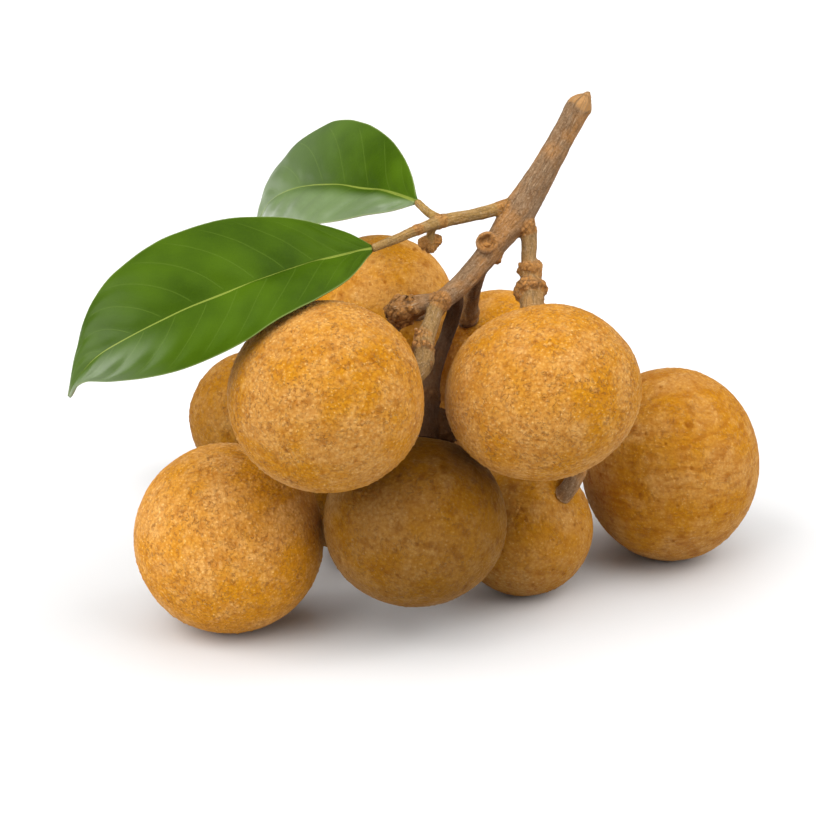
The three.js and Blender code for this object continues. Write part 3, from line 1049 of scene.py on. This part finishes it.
    tufts: list[tuple[Triple, Triple, float, float, int]] = field(default_factory=lambda: [
        ((-5.7, -20.0, 47.6), (-0.87, 0.0, -0.47), 1.2, 3.3, 40),
        ((-4.3, -20.2, 48.3), (-0.2, -0.7, 0.5), 0.9, 2.3, 14),
        ((-2.9, -25.8, 45.3), (-0.3, -0.75, -0.6), 1.0, 2.7, 16),
        ((-3.2, -27.6, 43.4), (0.2, -0.8, -0.5), 1.2, 2.4, 14),
        ((19.9, -11.3, 20.3), (0.0, -0.9, -0.4), 0.9, 1.9, 16),
        ((12.4, -16.0, 49.6), (0.0, -0.9, 0.3), 1.5, 2.3, 14),
    ])
    bud_lobes: list[Ball] = field(default_factory=lambda: [
        (-2.6, -16.1, 56.4, 0.95), (-0.9, -15.7, 56.6, 0.85), (-1.7, -16, 55.7, 0.8)])
    foot: list[Ball] = field(default_factory=lambda: [
        (0.9, -17.0, 29.5, 1.5), (0.2, -18.3, 29.3, 1.25), (1.7, -15.6, 30.1, 1.5),
        (-0.6, -16.8, 30.4, 1.6), (0.6, -18.9, 28.5, 1.4), (1.4, -17.4, 28.4, 1.3)])
    scar_at: Triple = (6.3, -15.3, 55.9)
    scar_faces: Triple = (-0.1, -0.86, 0.5)
    scar_radius: float = 1.22
    scar_rim: float = 0.38
    scar_height: float = 1.25
    scar_post: tuple[float, float] = (-2.8, -1.15)
    block: float = 5.0
    cut_at: Triple = (19.7, -6.0, 74.3)
    cut_faces: Triple = (0.5, 0.1, 0.86)
    spike: int = 100
    spike_radii: tuple[float, float, float] = (0.28, 0.16, 0.15)
    ball_squares: int = 6
    knob_reach: float = 0.85
    streak_size: float = 0.9
    streak_rise: float = 0.07
    grain_size: float = 0.7
    grain_rise: float = 0.03
    scale_size: float = 0.85
    scale_rise: float = 0.20
    wood_rise: float = 0.16
    scar_rise: float = 0.26
    bare_between: tuple[float, float] = (70.0, 72.0)

    @property
    def scar_axis(self) -> np.ndarray:
        """The way that the round scar faces."""
        return unit(np.array(self.scar_faces))

    @property
    def scar_top(self) -> np.ndarray:
        """The middle of the round scar's rim."""
        return np.array(self.scar_at) + self.scar_axis * self.scar_height

    def knobs(self) -> np.ndarray:
        """The knots and the smaller knobs on them.

        Returns:
            Centres and radii in mm, as an (n, 4) array.
        """
        draws = seeded_draws(self.seed)
        balls = []
        for x, y, z, radius, count in self.knots:
            balls.append((x, y, z, radius))
            for _ in range(count):
                polar = math.acos(1 - 2 * next(draws))
                turn = 2 * math.pi * next(draws)
                reach = radius * self.knob_reach
                size = radius * self.knob_size * (0.7 + 0.6 * next(draws))
                balls.append((
                    x + reach * math.sin(polar) * math.sin(turn),
                    y + reach * math.cos(polar),
                    z + reach * math.sin(polar) * math.cos(turn),
                    size,
                ))
        for at, way, ring, size, count in self.crowns:
            axis = unit(np.array(way))
            side = unit(np.cross(axis, (0.0, 0.0, 1.0)))
            other = np.cross(axis, side)
            for k in range(count):
                turn = 2 * math.pi * (k + 0.5 * next(draws)) / count
                spoke = side * math.cos(turn) + other * math.sin(turn)
                centre = np.array(at) + spoke * ring + axis * 0.5 * (next(draws) - 0.5)
                balls.append((*centre, size * (0.8 + 0.4 * next(draws))))
        return np.array(balls + self.bud_lobes + self.foot)

    def spine(self) -> Arrays:
        """Short straight pieces that follow the rods.

        Returns:
            For each piece its two ends, the radii there, its rod's number, how far along the
            rod it starts, and the bark's youth, which below 0 is painted shade.
        """
        rows: dict[str, list] = {key: [] for key in ("a", "b", "ra", "rb", "rod", "start", "youth_and_painted_shade")}
        for number, rod in enumerate(self.rods.values()):
            curve = SmoothCurve(rod.points)
            along = np.linspace(0, 1, max(4, int(curve.length / self.spine_step)) + 1)
            places, radii = curve.at(along), curve.extras(along)[:, 0]
            rows["a"] += list(places[:-1])
            rows["b"] += list(places[1:])
            rows["ra"] += list(radii[:-1])
            rows["rb"] += list(radii[1:])
            rows["rod"] += [number] * (len(along) - 1)
            rows["start"] += list(along[:-1] * curve.length)
            rows["youth_and_painted_shade"] += [rod.youth_and_painted_shade] * (len(along) - 1)
        draws = seeded_draws(self.seed + 7)
        root, more, end = self.spike_radii
        for at, way, inner, outer, count in self.tufts:
            axis = unit(np.array(way))
            for _ in range(count):
                aim = np.array([next(draws) for _ in range(3)]) * 2 - 1
                aim = unit(unit(aim) + axis * 0.75)
                lean = unit(aim + axis * 0.6)
                start = np.array(at) + aim * inner * (0.8 + 0.3 * next(draws))
                rows["a"].append(start)
                rows["b"].append(start + lean * (outer - inner) * (0.5 + 0.6 * next(draws)))
                rows["ra"].append(root + more * next(draws))
                rows["rb"].append(end)
                rows["rod"].append(self.spike + len(rows["a"]))
                rows["start"].append(0.0)
                rows["youth_and_painted_shade"].append(0.0)
        return {key: np.array(value) for key, value in rows.items()}

    def distance(self, points: np.ndarray, spine: Arrays, balls: np.ndarray
                 ) -> tuple[np.ndarray, np.ndarray, np.ndarray, np.ndarray]:
        """How far points lie outside the stem's smooth surface.

        Args:
            points: places in mm.
            spine: the straight pieces of the rods.
            balls: the knots and knobs.

        Returns:
            Distances in mm, the outward directions, the nearest piece of the spine and how
            far along its rod the point lies, in mm.
        """
        lengths = np.sqrt(((spine["b"] - spine["a"]) ** 2).sum(1))
        middle = (spine["a"] + spine["b"]) / 2
        out_d, out_n = np.zeros(len(points)), np.zeros((len(points), 3))
        out_i, out_t = np.zeros(len(points), int), np.zeros(len(points))
        _, block = np.unique(np.floor(points / self.block), axis=0, return_inverse=True)
        order = np.argsort(block.ravel(), kind="stable")
        for rows in np.split(order, np.flatnonzero(np.diff(block.ravel()[order])) + 1):
            p = points[rows]
            centre = (p.min(0) + p.max(0)) / 2
            reach = np.linalg.norm(p - centre, axis=1).max() + self.far
            near = np.flatnonzero(np.linalg.norm(middle - centre, axis=1) < reach + spine["ra"])
            close = np.linalg.norm(balls[:, :3] - centre, axis=1) < reach + balls[:, 3]
            to_rods, share = self._to_rods(p, {key: value[near] for key, value in spine.items()})
            to_balls = self._to_balls(p, balls[close] if close.any() else balls[:1])
            parts = zip(to_rods, to_balls, self._to_scar(p))
            gaps, off, length = (np.concatenate(part, axis=1) for part in parts)
            least = gaps.min(1, keepdims=True)
            weight = np.exp(-(gaps - least) / self.blend)
            split = len(near)
            weight[:, :split] = self._one_each_rod(weight[:, :split], spine["rod"][near])
            out_d[rows] = least[:, 0] - self.blend * np.log(weight.sum(1))
            out_n[rows] = unit((off / np.maximum(length, 1e-9)[..., None] * weight[..., None]).sum(1))
            nearest = to_rods[0].argmin(1)
            out_i[rows] = piece = near[nearest]
            walked = share[np.arange(len(p)), nearest] * lengths[piece]
            out_t[rows] = spine["start"][piece] + walked
        return out_d, out_n, out_i, out_t

    @staticmethod
    def _to_rods(p: np.ndarray, spine: Arrays
                 ) -> tuple[tuple[np.ndarray, np.ndarray, np.ndarray], np.ndarray]:
        """How points lie from straight pieces of rod.

        Args:
            p: places in mm.
            spine: the pieces.

        Returns:
            For each point and piece the gap, the way off the piece's middle line and its
            length, and then how far along the piece the nearest place is, from 0 to 1.
        """
        step = spine["b"] - spine["a"]
        away = p[:, None, :] - spine["a"]
        share = np.clip((away * step).sum(2) / (step**2).sum(1), 0.0, 1.0)
        off = away - share[..., None] * step
        length = np.linalg.norm(off, axis=2)
        gaps = length - (spine["ra"] + share * (spine["rb"] - spine["ra"]))
        return (gaps, off, length), share

    @staticmethod
    def _to_balls(p: np.ndarray, balls: np.ndarray) -> tuple[np.ndarray, np.ndarray, np.ndarray]:
        """How points lie from balls.

        Args:
            p: places in mm.
            balls: centres and radii.

        Returns:
            For each point and ball the gap, the way off the ball's centre and its length.
        """
        off = p[:, None, :] - balls[None, :, :3]
        length = np.linalg.norm(off, axis=2)
        return length - balls[None, :, 3], off, length

    def _to_scar(self, p: np.ndarray) -> tuple[np.ndarray, np.ndarray, np.ndarray]:
        """How points lie from the round scar's rim and from the post under it.

        Args:
            p: places in mm.

        Returns:
            For each point and for both, the gap, the way off the middle line and its length.
        """
        axis = self.scar_axis
        rel = p - self.scar_top
        height = rel @ axis
        to_ring = rel - unit(rel - height[:, None] * axis) * self.scar_radius
        to_post = rel - np.clip(height, *self.scar_post)[:, None] * axis
        off = np.stack([to_ring, to_post], axis=1)
        length = np.linalg.norm(off, axis=2)
        return length - np.array([self.scar_rim, self.scar_radius]), off, length

    @staticmethod
    def _one_each_rod(weight: np.ndarray, rod: np.ndarray) -> np.ndarray:
        """Keep only each rod's strongest piece, so that a rod doesn't swell where pieces meet.

        Args:
            weight: a weight for each point and piece.
            rod: the rod's number of each piece.

        Returns:
            The weights with all but the strongest of each rod set to 0.
        """
        kept = np.zeros_like(weight)
        rows = np.arange(len(weight))
        for number in np.unique(rod):
            columns = np.flatnonzero(rod == number)
            best = columns[weight[:, columns].argmax(1)]
            kept[rows, best] = weight[rows, best]
        return kept

    def scar_balls(self) -> list[Ball]:
        """Balls that roughly fill the round scar.

        Returns:
            Centres and radii in mm.
        """
        side = unit(np.cross(self.scar_axis, (0.0, 0.0, 1.0)))
        other = np.cross(self.scar_axis, side)
        middle = np.array(self.scar_at)
        balls = [(*(middle + self.scar_axis * up), self.scar_radius) for up in (-0.6, -0.1)]
        for turn in np.linspace(0, 2 * math.pi, 16, endpoint=False):
            spoke = side * math.cos(turn) + other * math.sin(turn)
            balls.append((*(self.scar_top + spoke * self.scar_radius), self.scar_rim))
        return balls

    def rough_solid(self, spine: Arrays, balls: np.ndarray
                    ) -> tuple[np.ndarray, np.ndarray]:
        """One closed skin of small squares near the stem's surface.

        Args:
            spine: the straight pieces of the rods.
            balls: the knots and knobs.

        Returns:
            Points in mm, and the four points of each square.
        """
        ways, quads = cube_sphere(self.ball_squares)
        points, faces, count = [], [], 0
        spheres = [*balls, *self.scar_balls()]
        for a, b, ra, rb in zip(spine["a"], spine["b"], spine["ra"], spine["rb"]):
            for share in (0.0, 0.5):
                spheres.append((*(a + (b - a) * share), ra + (rb - ra) * share))
        for x, y, z, radius in spheres:
            points.append(ways * radius + np.array((x, y, z)))
            faces.append(quads + count)
            count += len(ways)
        mesh = bpy.data.meshes.new("stem_rough")
        mesh.from_pydata(np.concatenate(points).tolist(), [], np.concatenate(faces).tolist())
        rough = bpy.data.objects.new("stem_rough", mesh)
        bpy.context.scene.collection.objects.link(rough)
        remesh = rough.modifiers.new("skin", "REMESH")
        remesh.mode = "VOXEL"
        remesh.voxel_size = self.voxel
        done = rough.evaluated_get(bpy.context.evaluated_depsgraph_get()).to_mesh()
        out = np.zeros(len(done.vertices) * 3, np.float32)
        done.vertices.foreach_get("co", out)
        corners = np.zeros(len(done.loops), np.int32)
        done.loops.foreach_get("vertex_index", corners)
        bpy.data.objects.remove(rough)
        bpy.data.meshes.remove(mesh)
        return out.reshape(-1, 3).astype(float), corners.reshape(-1, 4)

    def clear_fruits(self, points: np.ndarray) -> np.ndarray:
        """Push points out of the fruits, so that each stalk ends on its fruit's skin.

        Args:
            points: places in mm.

        Returns:
            The places, none inside a fruit.
        """
        for fruit in self.fruits.members:
            rel = points - np.array(fruit.centre)
            spin = fruit.spin()
            local = rel @ spin.T
            near = np.linalg.norm(local, axis=1) < max(fruit.half) * 1.1
            if not near.any():
                continue
            part = local[near]
            ways = unit(part)
            for _ in range(3):
                stretch = fruit.inner(ways)[:, None] * np.array(fruit.half) + self.stalk_gap
                ways = unit(part / stretch)
            skin = ways * (fruit.inner(ways)[:, None] * np.array(fruit.half) + self.stalk_gap)
            inside = (part**2).sum(1) < (skin**2).sum(1)
            part[inside] = skin[inside]
            points[near] = part @ spin + np.array(fruit.centre)
        return points

    def build(self) -> bpy.types.Object:
        """Make the stem's mesh and dress it.

        Returns:
            The object.
        """
        spine, balls = self.spine(), self.knobs()
        points, faces = self.rough_solid(spine, balls)
        for _ in range(3):
            gap, away, _, _ = self.distance(points, spine, balls)
            points = points - away * np.clip(gap, -0.5, 0.5)[:, None]
        _, _, piece, reach = self.distance(points, spine, balls)
        height, marks = self.relief(points, spine, balls, piece, reach)
        points = points + point_normals(points, faces) * height[:, None]
        points = self.clear_fruits(points)
        marks["bare"] *= smooth(points[:, 2], *self.bare_between)
        made = make_object("stem_bark", points, faces, marks, BarkFinish().material("bark"))
        return hand_over(made, "stem")

    @staticmethod
    def unrolled(points: np.ndarray, spine: Arrays, piece: np.ndarray,
                 reach: np.ndarray) -> np.ndarray:
        """Places on the bark, short along each rod, so that a field on them is streaked.

        Args:
            points: places in mm.
            spine: the straight pieces of the rods.
            piece: the piece that is nearest to each point.
            reach: how far along its rod each point lies, in mm.

        Returns:
            An (n, 3) array.
        """
        axis = unit(spine["b"] - spine["a"])[piece]
        helper = np.where(np.abs(axis[:, :1]) < 0.7, [[1.0, 0, 0]], [[0, 0, 1.0]])
        side = unit(np.cross(axis, helper))
        other = np.cross(axis, side)
        off = points - spine["a"][piece]
        radius = spine["ra"][piece]
        around = np.arctan2((off * other).sum(1), (off * side).sum(1))
        across = radius * np.cos(around) + spine["rod"][piece] * 9.0
        return np.stack([across, radius * np.sin(around), reach * 0.22], axis=1)

    def relief(self, points: np.ndarray, spine: Arrays, balls: np.ndarray,
               piece: np.ndarray, reach: np.ndarray) -> tuple[np.ndarray, Arrays]:
        """The bark's relief and what its finish reads.

        Args:
            points: places on the smooth stem, in mm.
            spine: the straight pieces of the rods.
            balls: the knots and knobs.
            piece: the piece that is nearest to each point.
            reach: how far along its rod each point lies, in mm.

        Returns:
            Heights in mm, and the marks: places on the bark, and from 0 to 1 how knotty it is, how
            much shade is painted into its hollows and how bare of bark it is, and its youth, which below
            0 is painted shade.
        """
        bark = self.unrolled(points, spine, piece, reach)
        to_balls = np.linalg.norm(points[:, None, :] - balls[None, :, :3], axis=2)
        knot = smooth(0.45 - (to_balls - balls[None, :, 3]).min(1), 0.0, 0.5)
        knot = np.maximum(knot, (spine["rod"][piece] >= self.spike) * 1.0)
        noise = Noise(self.seed)
        streak = noise.fractal(bark, self.streak_size, 3)
        grain = noise.fractal(points, self.grain_size, 2)
        near, second, _ = noise.cells(points, self.scale_size)
        scale_edge = smooth(second - near, 0.0, 0.35)
        height = streak * self.streak_rise + grain * self.grain_rise
        height += knot * ((scale_edge - 0.6) * self.scale_rise + grain * 0.07)
        beyond = (points - np.array(self.cut_at)) @ unit(np.array(self.cut_faces)) + 1.1
        bare = smooth(beyond + grain * 0.35, 0.0, 0.45)
        height += bare * noise.fractal(points * np.array([1, 1, 0.35]), 0.8, 2) * self.wood_rise
        scar = points - (self.scar_top + self.scar_axis * 0.05)
        from_scar = np.linalg.norm(scar, axis=1) / self.scar_radius
        inside = smooth(1.25 - from_scar, 0.0, 0.3)
        scales = noise.fractal(points * np.array([0.6, 0.6, 1.6]), 0.62, 2)
        height += inside * scales * self.scar_rise
        # Painted shade: darker in the crevices between a knot's scales, in the low parts of the round
        # scar and in the groove inside its rim.
        painted_hollow_shade = knot * (1.0 - scale_edge) * 0.7
        painted_hollow_shade = np.maximum(painted_hollow_shade, inside * (0.35 + 0.5 * smooth(-scales, -0.10, 0.35)))
        painted_hollow_shade = np.maximum(painted_hollow_shade, np.exp(-((from_scar - 0.88) / 0.10) ** 2) * 1.2)
        marks = {
            "bark": bark, "knot": np.maximum(knot, inside), "youth_and_painted_shade": spine["youth_and_painted_shade"][piece],
            "painted_hollow_shade": painted_hollow_shade, "bare": bare,
        }
        return height, marks


@dataclass
class Leaf:
    """One leaf blade between a lower and an upper edge, folded a little along its midrib.

    Each side vein slants ahead and bends on towards the tip, by shares of the leaf's length.
    The veins of the lower side are shifted by a share of the way between two. Sizes in mm.
    """

    name: str
    midrib: list[Triple]
    upper: list[Triple]
    lower: list[Triple]
    seed: int
    veins: int = 11
    vein_slant: float = 0.13
    vein_bend: float = 0.07
    vein_shift: float = 0.37
    thickness: float = 0.42
    bulge: float = 0.09
    columns: int = 56
    crowding: float = 1.25
    rows: int = 160
    wave_size: float = 5.0
    wave_rise: float = 0.16
    vein_rise: float = 0.05
    quilt: float = 0.21
    rib_rise: float = 0.16
    rib_width: float = 0.34
    tip_wax: float = 1.0
    low_wax: float = 0.0
    both_sides: float = 0.25
    # The strength of the painted sheen, a reflection painted into the colour towards the tip.
    painted_sheen: float = 0.12
    haze_from: float = 0.60

    def phase(self, along: np.ndarray, out: np.ndarray) -> np.ndarray:
        """How many side veins lie between a place and the base, with the veins leaning ahead."""
        return (along - self.vein_slant * out - self.vein_bend * out**2) * self.veins + 0.5

    def build(self) -> bpy.types.Object:
        """Make the blade's mesh and dress it.

        Returns:
            The object.
        """
        curves = [SmoothCurve(line) for line in (self.lower, self.midrib, self.upper)]
        along = np.linspace(0, 1, self.rows + 1)
        across = np.sin(np.linspace(-1, 1, self.columns + 1) * math.pi / 2 * 0.98)
        across = np.sign(across) * np.abs(across / across[-1]) ** self.crowding
        low, rib, high = (curve.at(along) for curve in curves)
        ahead = curves[1].tangents(along)
        u, v = np.meshgrid(along, across, indexing="ij")
        out = np.abs(v)
        reach = np.where(v[..., None] < 0, (low - rib)[:, None], (high - rib)[:, None])
        rise = np.cross(reach, ahead[:, None]) * np.sign(v)[..., None]
        middle = rib[:, None] + reach * out[..., None]
        middle = middle + rise * (self.bulge * 4 * out * (1 - out))[..., None]
        normal = self.facing(middle)
        half_width = np.linalg.norm(reach, axis=2)
        phase = self.phase(u, out) + np.where(v < 0, self.vein_shift, 0.0)
        vein = np.abs(np.cos(phase * math.pi))
        fade = smooth(out, 0.02, 0.2) * (1 - smooth(out, 0.75, 1.0)) * smooth(half_width, 0.8, 3.0)
        noise = Noise(self.seed)
        waves = noise.fractal(middle.reshape(-1, 3), self.wave_size, 2).reshape(u.shape)
        waves = waves * self.wave_rise * smooth(half_width, 0.5, 4.0)
        lift = waves + self.quilt * (vein - 0.5) * fade
        lift = lift + self.vein_rise * smooth(1.0 - vein, 0.75, 0.97) * fade
        middle = middle + normal * lift[..., None]
        ridge = np.exp(-((out * half_width / self.rib_width) ** 2)) * (1 - 0.75 * u)
        blade = self.thickness * (0.55 + 0.45 * (1 - out**4))
        top = middle + normal * (blade / 2 + ridge * self.rib_rise * 0.6)[..., None]
        bottom = middle - normal * (blade / 2 + ridge * self.rib_rise * 2.2)[..., None]
        points, faces = self.close(top, bottom)
        marks = {}
        rim = smooth(out * half_width - half_width, -0.20, -0.04) * smooth(half_width, 0.3, 1.5)
        for key, value in (("along", u), ("across", v), ("vein_phase", phase),
                           ("half_width", half_width), ("rim", rim)):
            marks[key] = np.concatenate([value.ravel(), value.ravel()])
        marks["underside"] = np.repeat([0.0, 1.0], u.size)
        offset = (self.seed * 5.0, 0.0, self.seed * -3.0)
        finish = LeafFinish(
            offset, self.tip_wax, self.low_wax, self.both_sides, self.painted_sheen, self.haze_from)
        name = self.name + "_blade"
        made = make_object(name, points, faces, marks, finish.material(name))
        return hand_over(made, self.name)

    @staticmethod
    def facing(grid: np.ndarray) -> np.ndarray:
        """Directions out of the upper face of a blade given as a (rows, columns, 3) array."""
        return unit(np.cross(np.gradient(grid, axis=1), np.gradient(grid, axis=0)))

    @staticmethod
    def close(top: np.ndarray, bottom: np.ndarray) -> tuple[np.ndarray, np.ndarray]:
        """Join two faces of the blade by a rim.

        Args:
            top: the upper face, as a (rows, columns, 3) array.
            bottom: the lower face, of the same shape.

        Returns:
            Points in mm, and the four points of each square.
        """
        rows, columns, _ = top.shape
        grid = np.arange(rows * columns).reshape(rows, columns)
        under = grid + rows * columns
        faces = [
            np.stack([grid[:-1, :-1], grid[:-1, 1:], grid[1:, 1:], grid[1:, :-1]], -1),
            np.stack([under[:-1, :-1], under[1:, :-1], under[1:, 1:], under[:-1, 1:]], -1),
        ]
        edges = (
            (grid[:-1, 0], grid[1:, 0], under[1:, 0], under[:-1, 0]),
            (under[:-1, -1], under[1:, -1], grid[1:, -1], grid[:-1, -1]),
            (under[0, :-1], under[0, 1:], grid[0, 1:], grid[0, :-1]),
            (grid[-1, :-1], grid[-1, 1:], under[-1, 1:], under[-1, :-1]),
        )
        faces += [np.stack(edge, -1) for edge in edges]
        points = np.concatenate([top.reshape(-1, 3), bottom.reshape(-1, 3)])
        return points, np.concatenate([face.reshape(-1, 4) for face in faces])


@dataclass
class Leaves:
    """The two leaves that the twig still carries."""

    near: Leaf = field(default_factory=lambda: Leaf(
        "leaf_near",
        midrib=[
            (-10, -22.2, 57.2), (-17.5, -27, 56.7), (-26, -32.5, 55.2), (-33.9, -36.2, 53),
            (-40.6, -38, 50.1), (-45.1, -38.5, 47.6), (-47.9, -37.8, 44.7), (-50, -36.7, 41)],
        upper=[
            (-10, -21.9, 57.7), (-14.1, -21.5, 59.7), (-19.6, -22.5, 61.4), (-25.1, -24, 62.3),
            (-29.9, -25.5, 62.2), (-35.2, -27.5, 61.3), (-40.1, -30, 59.3), (-44.1, -32, 56.5),
            (-46.8, -33.5, 53), (-48.4, -35, 49.3), (-49.3, -36, 45.6), (-50.2, -36.5, 41.1)],
        lower=[
            (-9.9, -22.6, 56.8), (-12.9, -29.4, 55), (-16.7, -34, 53.8), (-21.8, -37.8, 52.2),
            (-26.1, -39.5, 49.7), (-30.3, -40.6, 47.8), (-34.7, -41.2, 46.2), (-39.4, -41.2, 45.1),
            (-43.9, -40.5, 44.4), (-47.4, -39, 43.8), (-49, -37.9, 42.6), (-49.8, -36.9, 40.9)],
        seed=31))
    far: Leaf = field(default_factory=lambda: Leaf(
        "leaf_far",
        midrib=[
            (-3.8, -11.8, 61.3), (-7.5, -6, 61), (-11.3, 0, 60), (-15.3, 6, 59),
            (-19.5, 12, 57.4), (-23.9, 18, 54.8), (-27.4, 23, 50.8), (-29, 26, 45.7)],
        upper=[
            (-3.7, -11.7, 61.9), (-4.3, -7, 63.7), (-5.6, -1, 65.2), (-7.8, 5, 66.6),
            (-11.2, 11, 67.2), (-15.2, 16, 66.6), (-19.7, 20, 63.9), (-23.8, 23, 59.6),
            (-27, 25, 54.6), (-28.6, 26, 49.6), (-29, 26.2, 45.8)],
        lower=[
            (-3.9, -11.9, 60.8), (-7.5, -9, 59), (-10.9, -6, 57.7), (-14.7, -2, 55.9),
            (-18.2, 2, 54.2), (-21.9, 8, 51.8), (-26, 17, 48.4), (-29.2, 25.8, 45.6)],
        # The far leaf carries a stronger painted sheen, from a fifth of its length to the tip.
        seed=37, veins=8, tip_wax=1.0, low_wax=0.8, both_sides=0.8, painted_sheen=0.29, haze_from=0.20))

    def build(self) -> list[bpy.types.Object]:
        """Make both leaves."""
        return [self.near.build(), self.far.build()]


@dataclass(frozen=True)
class Sun:
    """One broad, far and soft lamp: where it stands, how wide it looks, and its strength."""

    name: str
    stands: Triple
    width: float
    strength: float

    def build(self) -> None:
        """Hang the lamp."""
        light = bpy.data.lights.new(self.name, "SUN")
        light.angle = math.radians(self.width)
        light.energy = self.strength
        lamp = bpy.data.objects.new(self.name, light)
        lamp.rotation_euler = (-Vector(self.stands)).to_track_quat("-Z", "Y").to_euler()
        bpy.context.scene.collection.objects.link(lamp)


@dataclass
class Studio:
    """A pale table and sky, soft lamps and the camera."""

    camera_at: Triple = (-4.9, -313.0, 139.9)
    camera_down: float = 20.0
    focal_pixels: float = 2200.0
    image_pixels: float = 816.0
    sensor: float = 36.0
    table_size: float = 6.0
    table_tone: float = 0.60
    sky: float = 0.15
    lamps: list[Sun] = field(default_factory=lambda: [
        Sun("key", (-0.25, -0.62, 0.74), 45.0, 0.75),
        Sun("top", (0.05, -0.05, 1.00), 85.0, 2.3),
        Sun("left", (-0.85, -0.42, 0.62), 65.0, 3.2),
        Sun("right", (0.85, -0.22, 0.66), 60.0, 2.6),
    ])

    def build(self) -> None:
        """Set the stage, the lamps and the camera."""
        self.table()
        self.world()
        for lamp in self.lamps:
            lamp.build()
        self.camera()

    def table(self) -> None:
        """Lay a plain pale table."""
        half = self.table_size / 2
        mesh = bpy.data.meshes.new("table")
        corners = [(-half, -half, 0), (half, -half, 0), (half, half, 0), (-half, half, 0)]
        mesh.from_pydata(corners, [], [(0, 1, 2, 3)])
        table = bpy.data.objects.new("table", mesh)
        bpy.context.scene.collection.objects.link(table)
        s = Shader("table")
        tone = (self.table_tone, self.table_tone, self.table_tone, 1.0)
        mesh.materials.append(s.finish(Base_Color=tone, Roughness=0.7, Specular_IOR_Level=0.1))

    def world(self) -> None:
        """Light everything a little from a plain white sky."""
        world = bpy.data.worlds.new("sky")
        world.use_nodes = True
        sky = world.node_tree.nodes["Background"]
        sky.inputs["Color"].default_value = (1.0, 1.0, 1.0, 1.0)
        sky.inputs["Strength"].default_value = self.sky
        bpy.context.scene.world = world

    def camera(self) -> None:
        """Stand the camera where the photograph was taken from."""
        data = bpy.data.cameras.new("camera")
        data.sensor_width = self.sensor
        data.lens = self.focal_pixels / self.image_pixels * self.sensor
        data.clip_start = 0.01
        data.clip_end = 20.0
        camera = bpy.data.objects.new("camera", data)
        camera.location = Vector(self.camera_at) * MM
        camera.rotation_euler = (math.radians(90.0 - self.camera_down), 0.0, 0.0)
        bpy.context.scene.collection.objects.link(camera)
        bpy.context.scene.camera = camera


def report(pieces: Sequence[bpy.types.Object]) -> None:
    """Log each piece and its number of faces."""
    for piece in pieces:
        LOG.info("%s: %d faces", piece.name, len(piece.data.polygons))


def main() -> None:
    """Build the bunch and its studio."""
    logging.basicConfig(level=logging.INFO, format="%(name)s %(relativeCreated)d ms %(message)s")
    bpy.context.scene.view_settings.view_transform = "Standard"
    Studio().build()
    fruits = Fruits()
    report(fruits.build())
    report([Stem(fruits).build()])
    report(Leaves().build())


if __name__ == "__main__":
    main()
